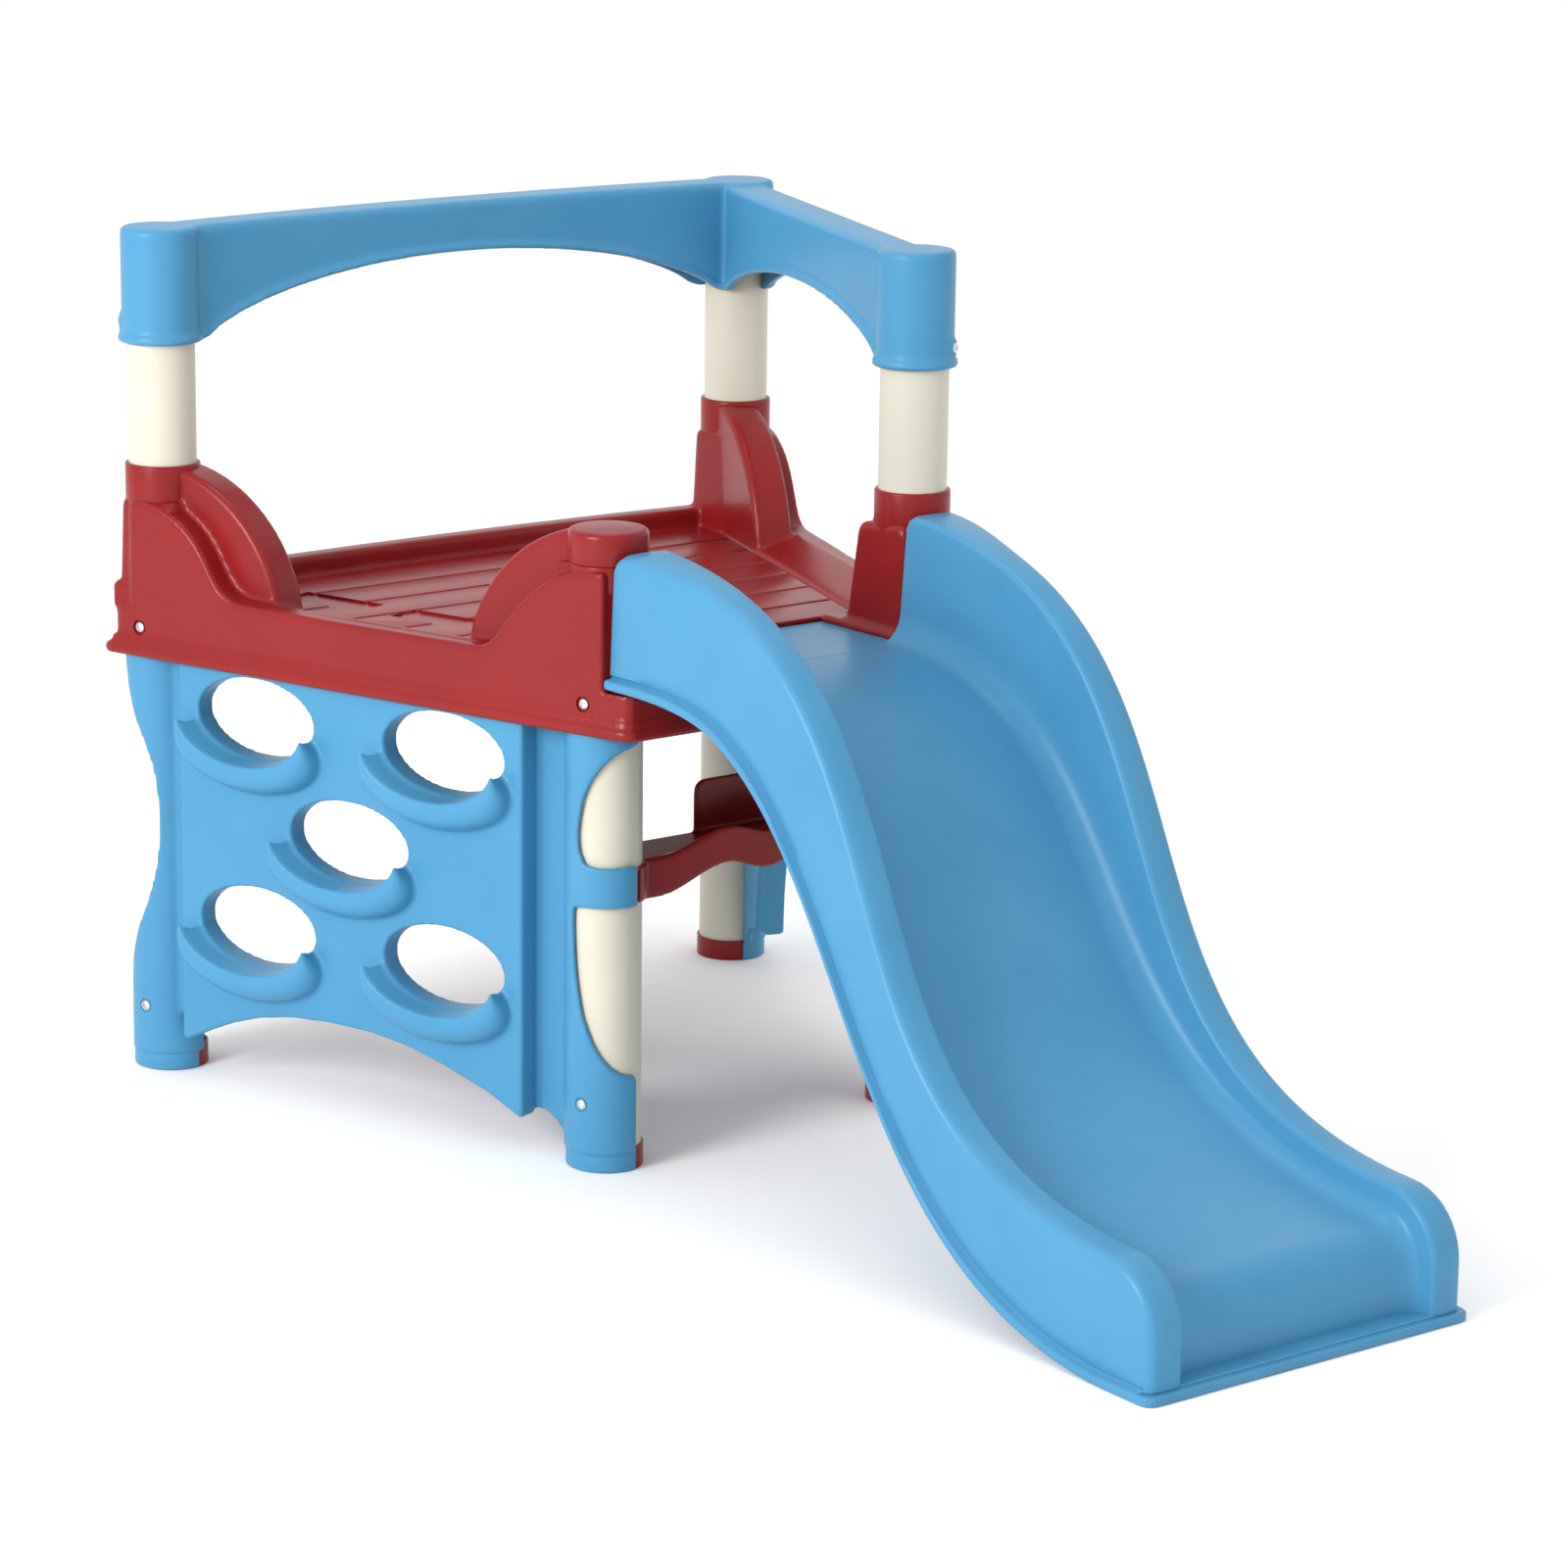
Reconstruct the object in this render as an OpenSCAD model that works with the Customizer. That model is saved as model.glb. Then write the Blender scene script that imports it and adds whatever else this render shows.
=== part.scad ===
// Toddler slide: a raised deck on four corners, with a climbing panel, a crawl panel,
// a guard rail on posts and a wave-shaped slide. It rests on the plane z = 0.
// X runs from the back rail to the toe of the slide, Y across it, Z up.
// The origin is the centre of the footprint, halfway along the whole length.

/* [Posts] */
// Distance from the back posts to the front posts
post_run = 504; // [480:1:520]
// Distance between the two back posts
back_spacing = 684; // [660:1:710]
// Distance between the two front posts
front_spacing = 350; // [346:1:360]
// Outside diameter of a post
post_d = 65; // [60:0.5:65]
// Wall of a post
post_wall = 3; // [2:0.5:5]
// Height of the top of the foot cups
foot_h = 21; // [14:1:24]

/* [Deck] */
// Height of the plank surface
floor_z = 466; // [460:1:472]
// Bottom of the deck's skirt
skirt_z = 415; // [413:1:425]
// Thickness of the moulded skins
skin = 4; // [3:0.5:5]
// How far the skirt stands outside the line of the posts
skirt_out = 38; // [37:0.5:40]
// Extra reach of the lip round the bottom of the skirt
lip_out = 7; // [4:0.5:9]
// How far the back edge bows out in the middle
back_bow = 20; // [10:1:26]
// Top of the collars round the posts
collar_z = 600; // [596:1:606]
// Width of one plank
plank_w = 60; // [45:1:75]

/* [Side panels] */
// Thickness of the flat field of a panel
field_t = 22; // [18:1:24]
// Height of the highest point of the arch under the climbing panel
arch_top = 88; // [70:1:95]
// Length of an oval climbing hole
hole_len = 142; // [120:1:146]
// Height of an oval climbing hole
hole_h = 77; // [66:1:80]
// How far a foothold stands out of the panel
foothold_out = 22; // [12:1:26]
// Height of the crawl opening in the other panel
crawl_top = 300; // [240:1:340]

/* [Guard rail] */
// Top of the guard rail
rail_top = 826; // [815:1:840]
// Bottom of the rail's sockets
rail_low = 716; // [706:1:724]
// Width of the rail's top
rail_w = 45; // [40:1:50]
// Underside of the long span at its middle
rail_arch_z = 777; // [760:1:785]

/* [Slide] */
// Distance from the middle of the posts to the toe
toe_x = 1024; // [1020:1:1040]
// Width over the two side walls
slide_w = 352; // [350:1:354]
// Thickness of each hollow side wall
slide_wall = 38; // [30:1:40]
// Extra reach of the lip along the lower edge
slide_lip = 7; // [4:0.5:9]

/* [Hidden] */

$fn = 64;
eps = 0.01;
sky = 2000;                  // longer than any cut has to be
fit = 0.15;                  // clearance of a post in a socket
red = "firebrick";
blue = "steelblue";
cream = "beige";
metal = "silver";

post_r = post_d / 2;
socket_r = post_r + fit;
side_angle = atan((back_spacing - front_spacing) / 2 / post_run);
side_len = post_run / cos(side_angle);
mid_half = (back_spacing + front_spacing) / 4;
back_x = -post_run / 2;
front_x = post_run / 2;

deck_back = 22;              // skirt line behind the back posts, at the corners
deck_front = 60;             // skirt line ahead of the front posts
deck_reach = post_run / 2 + deck_back + back_bow + lip_out;
origin_x = (deck_reach - toe_x) / 2;

back_l = [back_x, -back_spacing / 2, 0];
front_l = [front_x, -front_spacing / 2, 0];
front_r = [front_x, front_spacing / 2, 0];
back_r = [back_x, back_spacing / 2, 0];
rail_turn = (90 - side_angle) / 2;   // turn of the rail's screws off the walls they stand between

entry_x = 170;               // front end of the planks, where the slide's bed begins
entry_half = 139;            // half the clear way between the front corner bases
base_front = 284;            // front of the front corner bases, where the slide's walls start
base_z = 562;                // top of the corner bases, under the collars
cap_z = 570;                 // bottom of the cap on the short front post
collar_r = socket_r + 3.3;
cap_r = collar_r + 1;
wall_low = 484;              // low middle of a side wall
ledge_z = floor_z - 8;       // ledge that carries the slide's bed

leg_r = post_r + 6.5;        // outside of a panel's leg
foot_r = socket_r + 2.2;
field_out = 36;              // outer face of a panel's field
panel_top = 424;
panel_z0 = 36;               // lower corners of a panel's field
post_top = rail_top - skin;

bed_z = floor_z - 4;
toe_h = 8;                   // thickness of the lip under the toe

// 0 below t = 0, 1 above t = 1, and an S-shaped blend between them
function ease(t) = t <= 0 ? 0 : t >= 1 ? 1 : t * t * (3 - 2 * t);

// A point on the curve led by four control points
function bezier(p, t) =
    pow(1 - t, 3) * p[0] + 3 * pow(1 - t, 2) * t * p[1]
    + 3 * (1 - t) * t * t * p[2] + pow(t, 3) * p[3];

function curve(p, steps = 36) = [for (i = [0:steps]) bezier(p, i / steps)];
function lower(points, dz) = [for (p = points) p - [0, dz]];
function reversed(points) = [for (i = [len(points) - 1:-1:0]) points[i]];
function ellipse(c, a, b, from = 0, to = 360, steps = 40) = [
    for (i = [0:steps]) c + [a * cos(from + (to - from) * i / steps), b * sin(from + (to - from) * i / steps)]
];

// Half the width of the deck at x, measured d outside the line of the posts
function half_width(x, d) = mid_half - x * tan(side_angle) + d / cos(side_angle);

// Plan of the deck: two flared sides, a straight front and a bowed back
function deck_plan(d, front, back) = let (h = half_width(-back, d)) concat(
    [[front, -half_width(front, d)], [front, half_width(front, d)]],
    [for (i = [0:24]) let (y = h * (1 - i / 12)) [-back - back_bow * (1 - pow(y / h, 2)), y]]
);

// Everything is drawn about the middle of the posts and then moved to the origin
module placed() {
    translate([origin_x, 0, 0]) children();
}

// Frame of a side: x runs along the post line from back to front, -y points outwards
module left_side() {
    translate([back_x, -back_spacing / 2, 0]) rotate(side_angle) children();
}

module right_side() {
    mirror([0, 1, 0]) left_side() children();
}

module both_sides() {
    left_side() children();
    right_side() children();
}

// A flat outline in (distance along the side, height), from d0 to d1 outside the post line
module slab(d0, d1) {
    translate([0, -d0, 0]) rotate([90, 0, 0]) linear_extrude(d1 - d0) children();
}

// The same across the deck: an outline in (y, height), from x0 to x1
module cross_slab(x0, x1) {
    translate([x0, 0, 0]) rotate([90, 0, 90]) linear_extrude(x1 - x0) children();
}

// An outline in (x, height), from y0 to y1
module long_slab(y0, y1) {
    translate([0, y1, 0]) rotate([90, 0, 0]) linear_extrude(y1 - y0) children();
}

module round_block(x0, x1, y0, y1, h, r) {
    translate([x0 + r, y0, 0]) cube([x1 - x0 - 2 * r, y1 - y0, h]);
    translate([x0, y0 + r, 0]) cube([x1 - x0, y1 - y0 - 2 * r, h]);
    for (x = [x0 + r, x1 - r], y = [y0 + r, y1 - r]) translate([x, y, 0]) cylinder(h = h, r = r);
}

module at_back_posts() {
    for (s = [-1, 1]) translate([back_x, s * back_spacing / 2, 0]) children();
}

module at_front_posts() {
    for (s = [-1, 1]) translate([front_x, s * front_spacing / 2, 0]) children();
}

module at_posts() {
    at_back_posts() children();
    at_front_posts() children();
}

// Screws: the head's underside is at z = 0 and the shank runs down
screw_r = 2.5;
head_r = 5.5;
head_h = 3;
module screw(len) {
    slot_w = 1.3;
    slot_l = 6;
    difference() {
        union() {
            cylinder(h = head_h, r = head_r);
            translate([0, 0, -len]) cylinder(h = len + eps, r = screw_r);
        }
        for (a = [0, 90]) rotate(a)
            translate([-slot_l / 2, -slot_w / 2, head_h - 1.6]) cube([slot_l, slot_w, 2]);
    }
}

// Puts a screw at distance s along a side and height z, its head seated at d outside the posts
module side_screw(s, z, d) {
    translate([s, -d, z]) rotate([90, 0, 0]) children();
}

// Heights of the screws, and how far outside the post line their heads sit
deck_screw_z = 443;
panel_screw_z = 65;
rail_screw_z = 735;
beam_screw_z = 270;
screw_len = 14;
deck_seat = skirt_out - 2;
panel_seat = leg_r - 1.5;
rail_seat = socket_r + skin + 1;
beam_seat = socket_r + skin;

// ---- deck ----

function shoulder_z(s) = wall_low + (base_z - wall_low)
    * max(1 - ease((s - 18) / 112), ease((s - side_len + 125) / 105));

module wall_profile() {
    s0 = -24;
    s1 = (base_front - back_x) / cos(side_angle) - 12;
    steps = 44;
    polygon(concat(
        [[s1, skirt_z], [s0, skirt_z]],
        [for (i = [0:steps]) let (s = s0 + (s1 - s0) * i / steps) [s, shoulder_z(s)]]
    ));
}

// Quarter-round fin rising to the collar at distance s
module fin_profile(s) {
    fin_r = 156;
    intersection() {
        translate([s, collar_z - fin_r]) circle(r = fin_r, $fn = 128);
        translate([0, floor_z - 2]) square([side_len, sky]);
    }
}

module skirt() {
    difference() {
        union() {
            translate([0, 0, skirt_z]) linear_extrude(floor_z - skirt_z)
                polygon(deck_plan(skirt_out, front_x + deck_front, deck_back - back_x));
            translate([0, 0, skirt_z]) linear_extrude(10)
                polygon(deck_plan(
                    skirt_out + lip_out,
                    front_x + deck_front + lip_out,
                    deck_back - back_x + lip_out
                ));
        }
        translate([0, 0, skirt_z - eps]) linear_extrude(floor_z - skin - skirt_z)
            polygon(deck_plan(skirt_out - skin, front_x + deck_front - skin, deck_back - back_x - skin));
    }
}

module back_rim() {
    difference() {
        translate([0, 0, floor_z - skin]) linear_extrude(22)
            polygon(deck_plan(skirt_out - 6, 0, deck_back - back_x));
        translate([0, 0, floor_z - skin - 1]) linear_extrude(sky)
            polygon(deck_plan(skirt_out + 1, 60, deck_back - back_x - 26));
    }
}

module planks_cut() {
    groove_w = 3;
    groove_d = 1.5;
    planks = floor((entry_x - back_x) / plank_w);
    for (i = [0:planks - 1]) {
        x = entry_x - plank_w * (i + 1);
        h = half_width(x, -26);
        translate([x, -h, floor_z - groove_d]) cube([groove_w, 2 * h, 5]);
    }
}

// Hand slots in the floor beside the climbing wall
slot_len = 96;
slot_d0 = 66;
slot_d1 = 104;
module hand_slots(dz) {
    for (s = [92, 224]) slab(-slot_d1, -slot_d0) translate([s, floor_z - dz]) square([slot_len, 2 * dz]);
}

module collar(place, top) {
    translate(place + [0, 0, skirt_z]) cylinder(h = top - skirt_z, r = collar_r);
}

module deck() {
    color(red) placed() difference() {
        union() {
            skirt();
            back_rim();
            both_sides() {
                slab(14, skirt_out) wall_profile();
                slab(-12, 14 + eps) fin_profile(0);
                slab(-12, 14 + eps) fin_profile(side_len);
                translate([0, 0, skirt_z]) round_block(-30, 40, -skirt_out, 38, base_z - skirt_z, 10);
            }
            for (s = [-1, 1]) translate([front_x, s * front_spacing / 2, skirt_z])
                round_block(
                    -52, base_front - front_x,
                    -front_spacing / 2 + entry_half, 31,
                    base_z - skirt_z, 8
                );
            for (p = [back_l, back_r, front_r]) collar(p, collar_z);
            collar(front_l, cap_z - fit);
        }
        translate(front_l + [0, 0, cap_z - fit]) cylinder(h = sky, r = cap_r + fit);
        at_posts() translate([0, 0, skirt_z - 1]) cylinder(h = collar_z, r = socket_r);
        planks_cut();
        left_side() hand_slots(20);
        // lowered ledge that the slide's bed lies on
        translate([entry_x, -entry_half, ledge_z]) cube([sky, 2 * entry_half, sky]);
        // notches for the ends of the slide's walls
        translate([base_front, -sky / 2, ledge_z]) cube([sky, sky, sky]);
        both_sides() for (s = [0, side_len]) side_screw(s, deck_screw_z, deck_seat) {
            translate([0, 0, -40]) cylinder(h = 40, r = screw_r);
            cylinder(h = 20, r = head_r + 1.2);
        }
        for (s = [-1, 1])
            translate([slide_screw_x, s * slide_screw_y, ledge_z - 20]) cylinder(h = 30, r = screw_r);
    }
}

// ---- side panels ----

hole_rows = [168, 270, 373];
hole_side = 113;             // how far the outer holes stand from the middle one
hole_mid = side_len / 2 - 10;
hole_places = concat(
    [for (z = [hole_rows[0], hole_rows[2]], k = [-1, 1]) [hole_mid + k * hole_side, z]],
    [[hole_mid, hole_rows[1]]]
);

field_s0 = 45;
field_s1 = side_len - 70;

// Lower edge of the climbing panel's field: a low arch
function arch_edge(steps = 24) = let (mid = field_s0 + 0.42 * (field_s1 - field_s0)) [
    for (i = [0:steps]) let (
        s = field_s1 - (field_s1 - field_s0) * i / steps,
        t = s > mid ? (s - mid) / (field_s1 - mid) : (mid - s) / (mid - field_s0)
    ) [s, panel_z0 + (arch_top - panel_z0) * (1 - pow(t, 2))]
];

module climb_field() {
    polygon(concat([[field_s0, panel_top], [field_s1, panel_top]], arch_edge()));
}

// Leg moulded into the panel, waisted on its outer edge
module waisted_leg() {
    z0 = 95;
    waist = 44;
    steps = 24;
    polygon(concat(
        [[field_s0 + eps, panel_top], [field_s0 + eps, panel_z0], [leg_r - 4, foot_h], [-leg_r, foot_h]],
        [for (i = [0:steps]) let (z = z0 + (panel_top - z0) * i / steps)
            [-leg_r + waist * pow(sin(180 * i / steps), 2), z]]
    ));
}

// Wrap round a free-standing post: outer half only, tied to the field
module post_wrap(s, inward) {
    difference() {
        union() {
            translate([s, 0, foot_h]) cylinder(h = panel_top - foot_h, r = leg_r);
            translate([s - (inward > 0 ? 0 : 74), -32, panel_z0]) cube([74, 16, panel_top - panel_z0]);
        }
        translate([s, 0, 0]) cylinder(h = sky, r = socket_r);
        translate([s - sky / 2, 0, -1]) cube([sky, sky, sky]);
    }
}

// Cut-outs that let the post show: above and below the band
band_z0 = 252;
band_z1 = 292;
module scallops(s, outward) {
    reach = 76;
    lean = 8;
    slab(-sky / 2, sky / 2) {
        polygon(concat(
            [[s + outward * sky, band_z1]],
            ellipse([s + outward * (reach - lean), band_z1], reach, 122, outward > 0 ? 180 : 0, 90)
        ));
        polygon(concat(
            [[s + outward * sky, band_z0]],
            ellipse([s + outward * (reach - lean), band_z0], reach, 165, outward > 0 ? 180 : 360, 270)
        ));
    }
}

// Half cup of the panel round a foot
module half_foot(s) {
    difference() {
        translate([s, 0, 0]) cylinder(h = foot_h + 3, r = foot_r + 2.6);
        translate([s, 0, -1]) cylinder(h = sky, r = foot_r);
        translate([s - sky / 2, -1, -1]) cube([sky, sky, sky]);
    }
}

module foothold(c) {
    a = hole_len / 2;
    b = hole_h / 2;
    slab(field_out - 2, field_out + foothold_out) difference() {
        polygon(ellipse(c - [2, 14], a + 14, b + 20, 172, 366));
        polygon(ellipse(c, a, b));
    }
}

module climbing_panel() {
    color(blue) placed() left_side() {
        difference() {
            union() {
                slab(field_out - field_t, field_out) climb_field();
                intersection() {
                    slab(-4, leg_r) waisted_leg();
                    union() {
                        cylinder(h = panel_top, r = leg_r);
                        translate([0, -leg_r, 0]) cube([field_s0 + 1, leg_r, panel_top]);
                    }
                }
                difference() {
                    post_wrap(side_len, -1);
                    scallops(side_len, 1);
                }
                for (c = hole_places) foothold(c);
            }
            for (c = hole_places) slab(0, sky / 4) polygon(ellipse(c, hole_len / 2, hole_h / 2));
            // socket that takes the lower end of the back post
            translate([0, 0, stub_z]) cylinder(h = sky, r = socket_r);
            panel_screw_cut(0);
            panel_screw_cut(side_len);
        }
        half_foot(0);
        half_foot(side_len);
        // spigot that carries the foot cup under the moulded leg
        translate([0, 0, skin]) cylinder(h = 50, r = post_r - 2);
    }
}

module panel_screw_cut(s) {
    side_screw(s, panel_screw_z, panel_seat) {
        translate([0, 0, -40]) cylinder(h = 40, r = screw_r);
        cylinder(h = 20, r = head_r + 1.2);
    }
}

// Crawl panel: a tall round-headed opening between two legs
crawl_s0 = 76;
module crawl_profile() {
    difference() {
        translate([40, panel_z0]) square([side_len - 80, panel_top - panel_z0]);
        polygon(concat(
            [[side_len - crawl_s0, panel_z0 - 1], [crawl_s0, panel_z0 - 1]],
            reversed(ellipse([side_len / 2, panel_z0], side_len / 2 - crawl_s0, crawl_top - panel_z0, 0, 180))
        ));
    }
}

module crawl_panel() {
    color(blue) placed() right_side() {
        difference() {
            union() {
                slab(field_out - field_t, field_out) crawl_profile();
                difference() {
                    union() {
                        post_wrap(0, 1);
                        post_wrap(side_len, -1);
                    }
                    scallops(0, -1);
                    scallops(side_len, 1);
                    slab(0, leg_r * 2) polygon(concat(
                        [[side_len - crawl_s0, -1], [crawl_s0, -1]],
                        reversed(ellipse(
                            [side_len / 2, panel_z0],
                            side_len / 2 - crawl_s0, crawl_top - panel_z0,
                            0, 180
                        ))
                    ));
                }
            }
            for (s = [0, side_len]) translate([s, 0, 0]) cylinder(h = sky, r = socket_r);
            panel_screw_cut(0);
            panel_screw_cut(side_len);
        }
        half_foot(0);
        half_foot(side_len);
    }
}

// ---- posts, feet and cap ----

stub_z = 374;                // lower end of the post that stands in the climbing panel's leg

// A tube with a hole for each screw, given as [the way the screw faces, its height]
module post(place, z0, z1, screws) {
    color(cream) placed() translate(place) difference() {
        translate([0, 0, z0]) cylinder(h = z1 - z0, r = post_r);
        translate([0, 0, z0 - 1]) cylinder(h = z1 - z0 + 2, r = post_r - post_wall);
        for (k = screws) rotate(k[0]) translate([0, 0, k[1]])
            rotate([90, 0, 0]) cylinder(h = 60, r = screw_r);
    }
}

module back_left_post() {
    post(back_l, stub_z, post_top, [[side_angle, deck_screw_z], [-rail_turn, rail_screw_z]]);
}

module front_left_post() {
    post(front_l, skin, collar_z - skin - fit, [
        [side_angle, deck_screw_z], [side_angle, panel_screw_z], [180, beam_screw_z]
    ]);
}

module front_right_post() {
    post(front_r, skin, post_top, [
        [180 - side_angle, deck_screw_z], [180 - side_angle, panel_screw_z],
        [0, beam_screw_z], [90 + rail_turn, rail_screw_z]
    ]);
}

module back_right_post() {
    post(back_r, skin, post_top, [
        [180 - side_angle, deck_screw_z], [180 - side_angle, panel_screw_z], [180 + rail_turn, rail_screw_z]
    ]);
}

module foot(place) {
    color(red) placed() translate(place) difference() {
        cylinder(h = foot_h, r = foot_r - 0.1);
        translate([0, 0, skin]) cylinder(h = foot_h, r = socket_r);
    }
}

module back_left_foot() {
    foot(back_l);
}

module front_left_foot() {
    foot(front_l);
}

module front_right_foot() {
    foot(front_r);
}

module back_right_foot() {
    foot(back_r);
}

// Cap over the top of the short front post
module corner_cap() {
    edge = 3;
    h = collar_z - cap_z;
    color(red) placed() translate(front_l + [0, 0, cap_z]) difference() {
        union() {
            cylinder(h = h - edge, r = cap_r);
            translate([0, 0, h - edge]) cylinder(h = edge, r1 = cap_r, r2 = cap_r - edge);
        }
        translate([0, 0, -1]) cylinder(h = h - skin + 1, r = socket_r);
    }
}

// ---- guard rail ----

function bow(y) = back_bow * max(0, 1 - pow(2 * y / back_spacing, 2));

// Plan of the bowed span behind the back posts, w wide
module back_span_plan(w) {
    n = 24;
    ys = [for (i = [0:n]) back_spacing * (i / n - 0.5)];
    polygon(concat(
        [for (y = ys) [back_x - bow(y) - w / 2, y]],
        [for (i = [n:-1:0]) [back_x - bow(ys[i]) + w / 2, ys[i]]]
    ));
}

// Height of an arched underside between two posts, len apart
function arch_z(s, len, apex) = let (t = (s - len / 2) / (len / 2 - 38))
    abs(t) >= 1 ? rail_low : rail_low + (apex - rail_low) * pow(1 - t * t, 0.7);

module span_profile(len, apex, up) {
    n = 40;
    polygon(concat(
        [[len, rail_top - up], [0, rail_top - up]],
        [for (i = [0:n]) [len * i / n, arch_z(len * i / n, len, apex)]]
    ));
}

module lip_profile(len, apex) {
    n = 40;
    z = [for (i = [0:n]) arch_z(len * i / n, len, apex)];
    polygon(concat(
        [for (i = [0:n]) [len * i / n, z[i]]],
        [for (i = [n:-1:0]) [len * i / n, z[i] + 6]]
    ));
}

side_arch_z = rail_arch_z - 18;
rail_lip = 4;
module back_span(w, up) {
    intersection() {
        linear_extrude(sky) back_span_plan(w);
        translate([0, -back_spacing / 2, 0]) cross_slab(-sky / 2, 0)
            span_profile(back_spacing, rail_arch_z, up);
    }
}

module guard_rail() {
    end_r = socket_r + skin;
    color(blue) placed() difference() {
        union() {
            back_span(rail_w, 0);
            intersection() {
                linear_extrude(sky) back_span_plan(rail_w + 2 * rail_lip);
                translate([0, -back_spacing / 2, 0]) cross_slab(-sky / 2, 0)
                    lip_profile(back_spacing, rail_arch_z);
            }
            right_side() {
                slab(-rail_w / 2, rail_w / 2) span_profile(side_len, side_arch_z, 0);
                slab(-rail_w / 2 - rail_lip, rail_w / 2 + rail_lip) lip_profile(side_len, side_arch_z);
            }
            for (p = [back_l, back_r, front_r]) translate(p) {
                translate([0, 0, rail_low]) cylinder(h = rail_top - rail_low, r = end_r);
                translate([0, 0, rail_low]) cylinder(h = 8, r = end_r + rail_lip);
            }
            rail_screw_places() translate([0, 0, -4]) cylinder(h = 5.5, r = head_r + 3);
        }
        translate([0, 0, -eps]) back_span(rail_w - 2 * skin, skin);
        right_side() translate([0, 0, -eps]) slab(-rail_w / 2 + skin, rail_w / 2 - skin)
            span_profile(side_len, side_arch_z, skin);
        for (p = [back_l, back_r, front_r]) translate(p) translate([0, 0, rail_low - 1])
            cylinder(h = post_top - rail_low + 1, r = socket_r);
        rail_screw_places() {
            translate([0, 0, -30]) cylinder(h = 30, r = screw_r);
            cylinder(h = 30, r = head_r + 0.5);
        }
    }
}

// One screw for each post, facing straight away from its corner
module rail_screw_places() {
    for (p = [[back_l, -rail_turn], [back_r, 180 + rail_turn], [front_r, 90 + rail_turn]])
        translate(p[0] + [0, 0, rail_screw_z]) rotate(p[1]) translate([0, -rail_seat, 0])
            rotate([90, 0, 0]) children();
}

// ---- slide ----

slide_half = slide_w / 2;
inner_half = slide_half - slide_wall;
toe_foot = toe_x - 26;       // foot of the front face, behind the lip on the ground
toe_r = 60;                  // rounding of the side walls' front ends
low_z = ledge_z + 1;
top_path = [[300, 583], [735, 560], [520, 128], [958, 112]];
low_path = [[base_front, low_z], [634, 472], [564, 22], [957, 0]];
bed_path = [[base_front, bed_z], [664, bed_z], [510, 109], [962, 83]];
slide_screw_x = 235;
slide_screw_y = 90;

// Side view of a side wall, drawn in by t on all edges but the lowest
module wall_outline(t, drop) {
    polygon(concat(
        [[base_front + t, low_z - drop], [base_front + t, 564 - t], [base_front + 4 + t, 574 - t]],
        lower(curve(top_path), t * 1.2),
        ellipse([toe_foot + 20 - toe_r, 52], toe_r - t, toe_r - t, 90, 0, 10),
        [[toe_foot + 20 - t, -drop]],
        lower(reversed(curve(low_path)), drop)
    ));
}

// The bed, from the deck's ledge to the crest, and the face that drops to the ground
module bed_profile() {
    top = concat(curve(bed_path), [[toe_foot - 12, 64], [toe_foot, toe_h]]);
    under = concat(lower(curve(bed_path), skin), [[toe_foot - 12 - skin, 62], [toe_foot - skin, 0]]);
    polygon(concat(top, [[toe_foot, 0]], reversed(under)));
}

module slide_lip_profile() {
    polygon(concat(curve(low_path), [[toe_x, 0], [toe_x, toe_h]], reversed(lower(curve(low_path), -9))));
}

module slide() {
    color(blue) placed() difference() {
        union() {
            for (s = [0, 1]) mirror([0, s, 0]) {
                difference() {
                    long_slab(inner_half, slide_half) wall_outline(0, 0);
                    long_slab(inner_half + skin, slide_half - skin) wall_outline(skin, 2);
                }
                long_slab(slide_half - skin, slide_half + slide_lip) slide_lip_profile();
            }
            long_slab(-inner_half - skin, inner_half + skin) bed_profile();
            translate([entry_x, -entry_half + 1, bed_z - skin])
                cube([base_front - entry_x + 4, 2 * entry_half - 2, skin]);
            translate([toe_foot - skin, -slide_half, 0]) cube([toe_x - toe_foot + skin, slide_w, toe_h]);
        }
        for (s = [-1, 1])
            translate([slide_screw_x, s * slide_screw_y, ledge_z - 1]) cylinder(h = 3, r = screw_r);
    }
}

// ---- cross beam ----

beam_x0 = 206;
beam_x1 = 266;
beam_plate_z = 288;

// The apron rises in two humps between the legs
function beam_wave(y) = ease((124 - abs(y)) / 78) - 0.55 * ease((46 - abs(y)) / 46);
function beam_low(y) = 250 + 21 * beam_wave(y);
function beam_high(y) = beam_plate_z + 18 * beam_wave(y);

module beam_apron() {
    n = 30;
    w = front_spacing / 2 - 30;
    ys = [for (i = [0:n]) w * (2 * i / n - 1)];
    polygon(concat([for (y = ys) [y, beam_low(y)]], [for (i = [n:-1:0]) [ys[i], beam_high(ys[i])]]));
}

// Upright tab with rounded corners on the far edge of the beam
module beam_tab() {
    half_w = 45;
    top = 338;
    r = 12;
    translate([-half_w, beam_plate_z - skin]) square([2 * half_w, top - r - beam_plate_z + skin]);
    translate([-half_w + r, beam_plate_z]) square([2 * (half_w - r), top - beam_plate_z]);
    for (s = [-1, 1]) translate([s * (half_w - r), top - r]) circle(r = r);
}

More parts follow.
